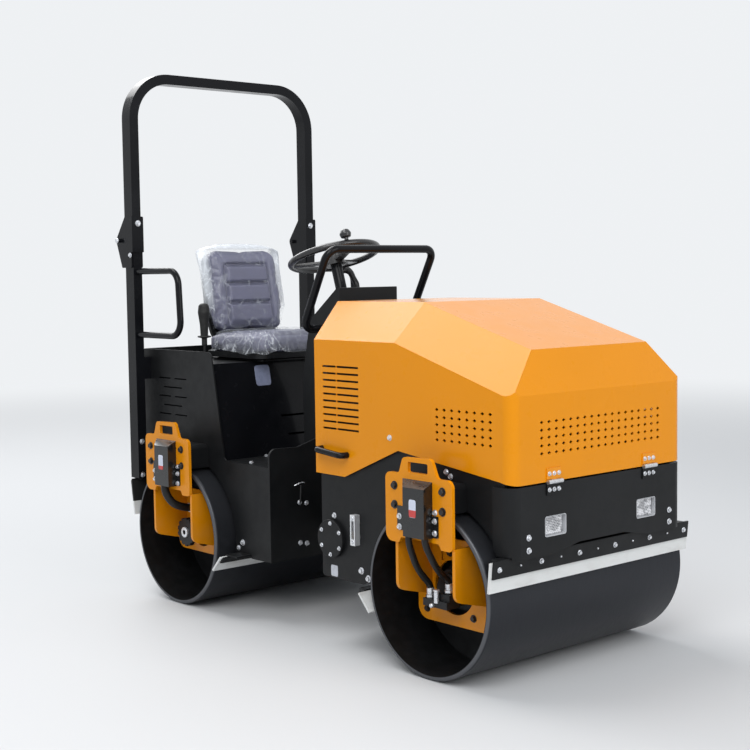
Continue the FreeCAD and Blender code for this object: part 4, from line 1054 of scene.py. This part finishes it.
def swollen(name, node, material, body, shrink, cap, carve):
    """Padding of a seat part: its CAD form is drawn in, remeshed, swollen as cloth under pressure, held within
    cap of where it began, and then sewn down along its channels."""
    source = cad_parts[node]
    mesh = source.data.copy()
    mesh.name = name
    solid = bmesh.new()
    solid.from_mesh(mesh)
    bmesh.ops.remove_doubles(solid, verts=solid.verts, dist=1e-5)
    solid.to_mesh(mesh)
    solid.free()
    count = len(mesh.vertices)
    co = np.empty(count * 3)
    mesh.vertices.foreach_get("co", co)
    co = co.reshape(-1, 3)
    middle = (co.min(0) + co.max(0)) / 2
    half = (co.max(0) - co.min(0)) / 2
    co = middle + (co - middle) * (1 - shrink / half)
    mesh.vertices.foreach_set("co", co.ravel())
    mesh.materials.clear()
    mesh.materials.append(material)
    pad = bpy.data.objects.new(name, mesh)
    scene = bpy.context.scene
    scene.collection.objects.link(pad)
    remesh = pad.modifiers.new("remesh", "REMESH")
    remesh.mode = "VOXEL"
    remesh.voxel_size = 0.0055
    remesh.use_smooth_shade = True
    apply_modifiers(pad)
    start = points_of(pad)
    cloth = pad.modifiers.new("cloth", "CLOTH")
    cloth.settings.use_pressure = True
    cloth.settings.uniform_pressure_force = sizes().pad_pressure
    cloth.settings.effector_weights.gravity = 0.0
    cloth.settings.quality = 5
    for step in range(1, sizes().pad_steps + 1):
        scene.frame_set(step)
    apply_modifiers(pad)
    scene.frame_set(1)
    moved = points_of(pad)
    shift = moved - start
    length = np.linalg.norm(shift, axis=1)[:, None]
    moved = start + shift * np.minimum(1, cap / np.maximum(length, 1e-9))
    pad.data.vertices.foreach_set("co", moved.ravel())
    pad.data.update()
    smooth = pad.modifiers.new("smooth", "SMOOTH")
    smooth.iterations = 3
    finer = pad.modifiers.new("finer", "SUBSURF")
    finer.levels = finer.render_levels = 1
    apply_modifiers(pad)
    moved = carve(points_of(pad))
    pad.data.vertices.foreach_set("co", moved.ravel())
    pad.data.polygons.foreach_set("use_smooth", np.ones(len(pad.data.polygons), bool))
    pad.data.update()
    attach(pad, body)
    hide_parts(node)
    return pad


def apply_modifiers(thing):
    graph = bpy.context.evaluated_depsgraph_get()
    baked = bpy.data.meshes.new_from_object(thing.evaluated_get(graph))
    thing.modifiers.clear()
    thing.data = baked


def points_of(thing):
    co = np.empty(len(thing.data.vertices) * 3)
    thing.data.vertices.foreach_get("co", co)
    return co.reshape(-1, 3)


def groove(distance, width):
    """Depth of a sewn channel, 1 in the middle, falling away smoothly over its width."""
    return np.exp(-(distance / width) ** 2)


def back_middle(z):
    """Place along the machine of the backrest's middle line at a height."""
    return BACK_X - (z - BACK_Z) * BACK_LEAN


def back_channels(co):
    """Backrest: an upright panel with three pads between channels; points near the front are pushed back by
    the depth of the nearest channel, and the panel's pads stand proud of it."""
    x, y, z = co.T
    front = 1 / (1 + np.exp(-(x - back_middle(z)) / 0.004))
    side = 0.114 - (z - 1.105) * 0.02
    low, high = 1.105, 1.345
    levels = (1.187, 1.268)
    inside = 1 / (1 + np.exp((np.abs(y) - side) / 0.004))
    span = 1 / (1 + np.exp(-(z - low) / 0.006)) / (1 + np.exp((z - high) / 0.006))
    depth = groove(np.abs(y) - side, 0.0075) * span
    for level in levels + (high,):
        depth = np.maximum(depth, groove(z - level, 0.0075) * inside)
    bulge = inside * span * 0.35
    x = x - front * sizes().channel_depth * (depth - bulge * (1 - depth))
    return np.stack([x, y, z], axis=1)


def cushion_channels(co):
    """Cushion: channels along both sides of a middle panel, and three across it."""
    x, y, z = co.T
    top = 1 / (1 + np.exp(-(z - 1.028) / 0.004))
    side = 0.122
    levels = (REAR_X - 0.06, REAR_X + 0.03, REAR_X + 0.12)
    near, far = REAR_X - 0.12, REAR_X + 0.195
    inside = 1 / (1 + np.exp((np.abs(y) - side) / 0.004))
    span = 1 / (1 + np.exp(-(x - near) / 0.006)) / (1 + np.exp((x - far) / 0.006))
    depth = groove(np.abs(y) - side, 0.0075) * span
    for level in levels + (far,):
        depth = np.maximum(depth, groove(x - level, 0.0075) * inside)
    bulge = inside * span * 0.3
    z = z - top * sizes().channel_depth * (depth - bulge * (1 - depth))
    return np.stack([x, y, z], axis=1)


def crinkles(a, b):
    """Folds of thin film: two crossed sets of ridges, each the absolute value of a bent sine."""
    first = np.abs(np.sin(38 * a + 61 * b + 2.1 * np.sin(17 * b)))
    second = np.abs(np.sin(83 * b - 52 * a + 1.3 * np.sin(29 * a)))
    return 0.0022 * first + 0.0016 * second


def back_film():
    """Bag over the backrest. Its section is a superellipse about the backrest's middle line, drawn out into a
    thin fin at each side; the fins widen upwards, and at the top its depth falls as a quarter of an ellipse
    to a straight seam whose corners droop."""
    turn = np.linspace(0, 2 * math.pi, 160, endpoint=False)[None, :]
    rise = np.linspace(0, 1, 72)[:, None]
    across = np.sign(np.cos(turn)) * np.abs(np.cos(turn)) ** 0.6
    level = 1.084 + 0.35 * rise
    pad = np.interp(level, [1.08, 1.17, 1.42], [0.160, 0.192, 0.178])
    fin = 0.036 * np.clip((level - 1.13) / 0.29, 0, 1) ** 1.4
    y = (pad + fin) * across
    seam = 1.434 - 0.030 * (np.abs(y) / 0.21) ** 3
    z = 1.084 + (seam - 1.084) * rise + 0.006 * np.sin(9 * turn) * (1 - rise) ** 4
    near = np.clip((seam - z) / 0.047, 0, 1)
    shut = np.sqrt(np.clip(1 - (1 - near) ** 2, 0, 1))
    thin = 1 - 0.88 * np.clip((np.abs(y) - pad + 0.004) / (fin + 0.006), 0, 1)
    reach = np.where(np.sin(turn) > 0, 0.047, 0.056) * np.abs(np.sin(turn)) ** 0.55 * shut * thin
    fold = crinkles(y, z) * near * np.abs(np.sin(turn)) ** 0.3
    x = back_middle(z) + np.sign(np.sin(turn)) * (reach + fold)
    x = np.where(rise + 0 * turn == 1, back_middle(z), x)
    wave = 0.004 * np.sin(14 * level + 3 * across) * np.abs(across) ** 8
    return grid(np.stack([x + wave, y + 0 * x, z], axis=-1), close_v=True)


def cushion_film(half):
    """Sheet over the cushion: rings of one superellipse outline, drawn in to a point in the middle; the
    profile lies on the top, turns over the edge and hangs down to a wavy hem."""
    turn = np.linspace(0, 2 * math.pi, 144, endpoint=False)[None, :]
    run = np.linspace(0, 1, 64)[:, None]
    out = np.interp(run, [0, 0.62, 0.74, 0.80, 0.86, 1.0], [0, 0.86, 0.965, 1.0, 1.012, 1.045])
    drop = np.interp(run, [0, 0.62, 0.74, 0.80, 0.86, 1.0], [0, 0, 0.010, 0.028, 0.045, 0.082])
    a = np.sign(np.cos(turn)) * np.abs(np.cos(turn)) ** 0.55
    b = np.sign(np.sin(turn)) * np.abs(np.sin(turn)) ** 0.55
    x = REAR_X + 0.049 + 0.204 * out * a
    y = (half + 0.010) * out * b
    hem = np.clip((run - 0.8) / 0.2, 0, 1)
    z = 1.0745 - drop + crinkles(x, y) * (1 - hem) + hem * 0.010 * np.sin(7 * turn + 1.1) * np.sin(3 * turn)
    flare = hem * 0.006 * np.sin(23 * turn)
    return grid(np.stack([x + flare * a, y + flare * b, z], axis=-1), close_v=True)


class ROLLER_OT_seat(bpy.types.Operator):
    """Padded cushion and backrest with sewn channels, under clear film."""

    bl_idname = "roller.seat"
    bl_label = "Seat"

    def execute(self, context):
        vinyl = seat_vinyl()
        swollen("seat_back_pad", "seat_backrest", vinyl, "rear_frame", np.array([0.005, 0.002, 0.001]), 0.016,
                back_channels)
        swollen("seat_cushion_pad", "seat_cushion", vinyl, "rear_frame", np.array([0.005, 0.004, 0.008]), 0.016,
                cushion_channels)
        clear = clear_film()
        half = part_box("seat_cushion")[1].y
        bag = piece("seat_back_film", [back_film()], clear, "rear_frame", 60.0)
        cover = piece("seat_cushion_film", [cushion_film(half)], clear, "rear_frame", 60.0)
        return {"FINISHED"}


CLASSES = (RollerSizes, RollerColours, ROLLER_OT_stage, ROLLER_OT_finishes, ROLLER_OT_fasteners,
           ROLLER_OT_frame_fittings, ROLLER_OT_hinge_bolts, ROLLER_OT_scraper_bolts, ROLLER_OT_hoop_bolts,
           ROLLER_OT_lamps, ROLLER_OT_hose_ends, ROLLER_OT_engine, ROLLER_OT_seat)


class ROLLER_PT_panel(bpy.types.Panel):
    """Lists the roller's operators and its sizes and colours."""

    bl_idname = "ROLLER_PT_panel"
    bl_label = "Road roller"
    bl_space_type = "VIEW_3D"
    bl_region_type = "UI"
    bl_category = "Roller"

    def draw(self, context):
        for group in (context.scene.roller_sizes, context.scene.roller_colours):
            for key in group.__annotations__:
                self.layout.prop(group, key)
        for step in OPERATORS:
            self.layout.operator(step.bl_idname)


OPERATORS = [c for c in CLASSES if issubclass(c, bpy.types.Operator)]


def register():
    for cls in CLASSES + (ROLLER_PT_panel,):
        bpy.utils.register_class(cls)
    bpy.types.Scene.roller_sizes = PointerProperty(type=RollerSizes)
    bpy.types.Scene.roller_colours = PointerProperty(type=RollerColours)


def unregister():
    del bpy.types.Scene.roller_colours
    del bpy.types.Scene.roller_sizes
    for cls in reversed(CLASSES + (ROLLER_PT_panel,)):
        bpy.utils.unregister_class(cls)


def main():
    register()
    for step in OPERATORS:
        group, name = step.bl_idname.split(".")
        result = getattr(getattr(bpy.ops, group), name)()
        if result != {"FINISHED"}:
            raise RuntimeError(f"{step.bl_idname} did not finish")


if __name__ == "__main__":
    main()
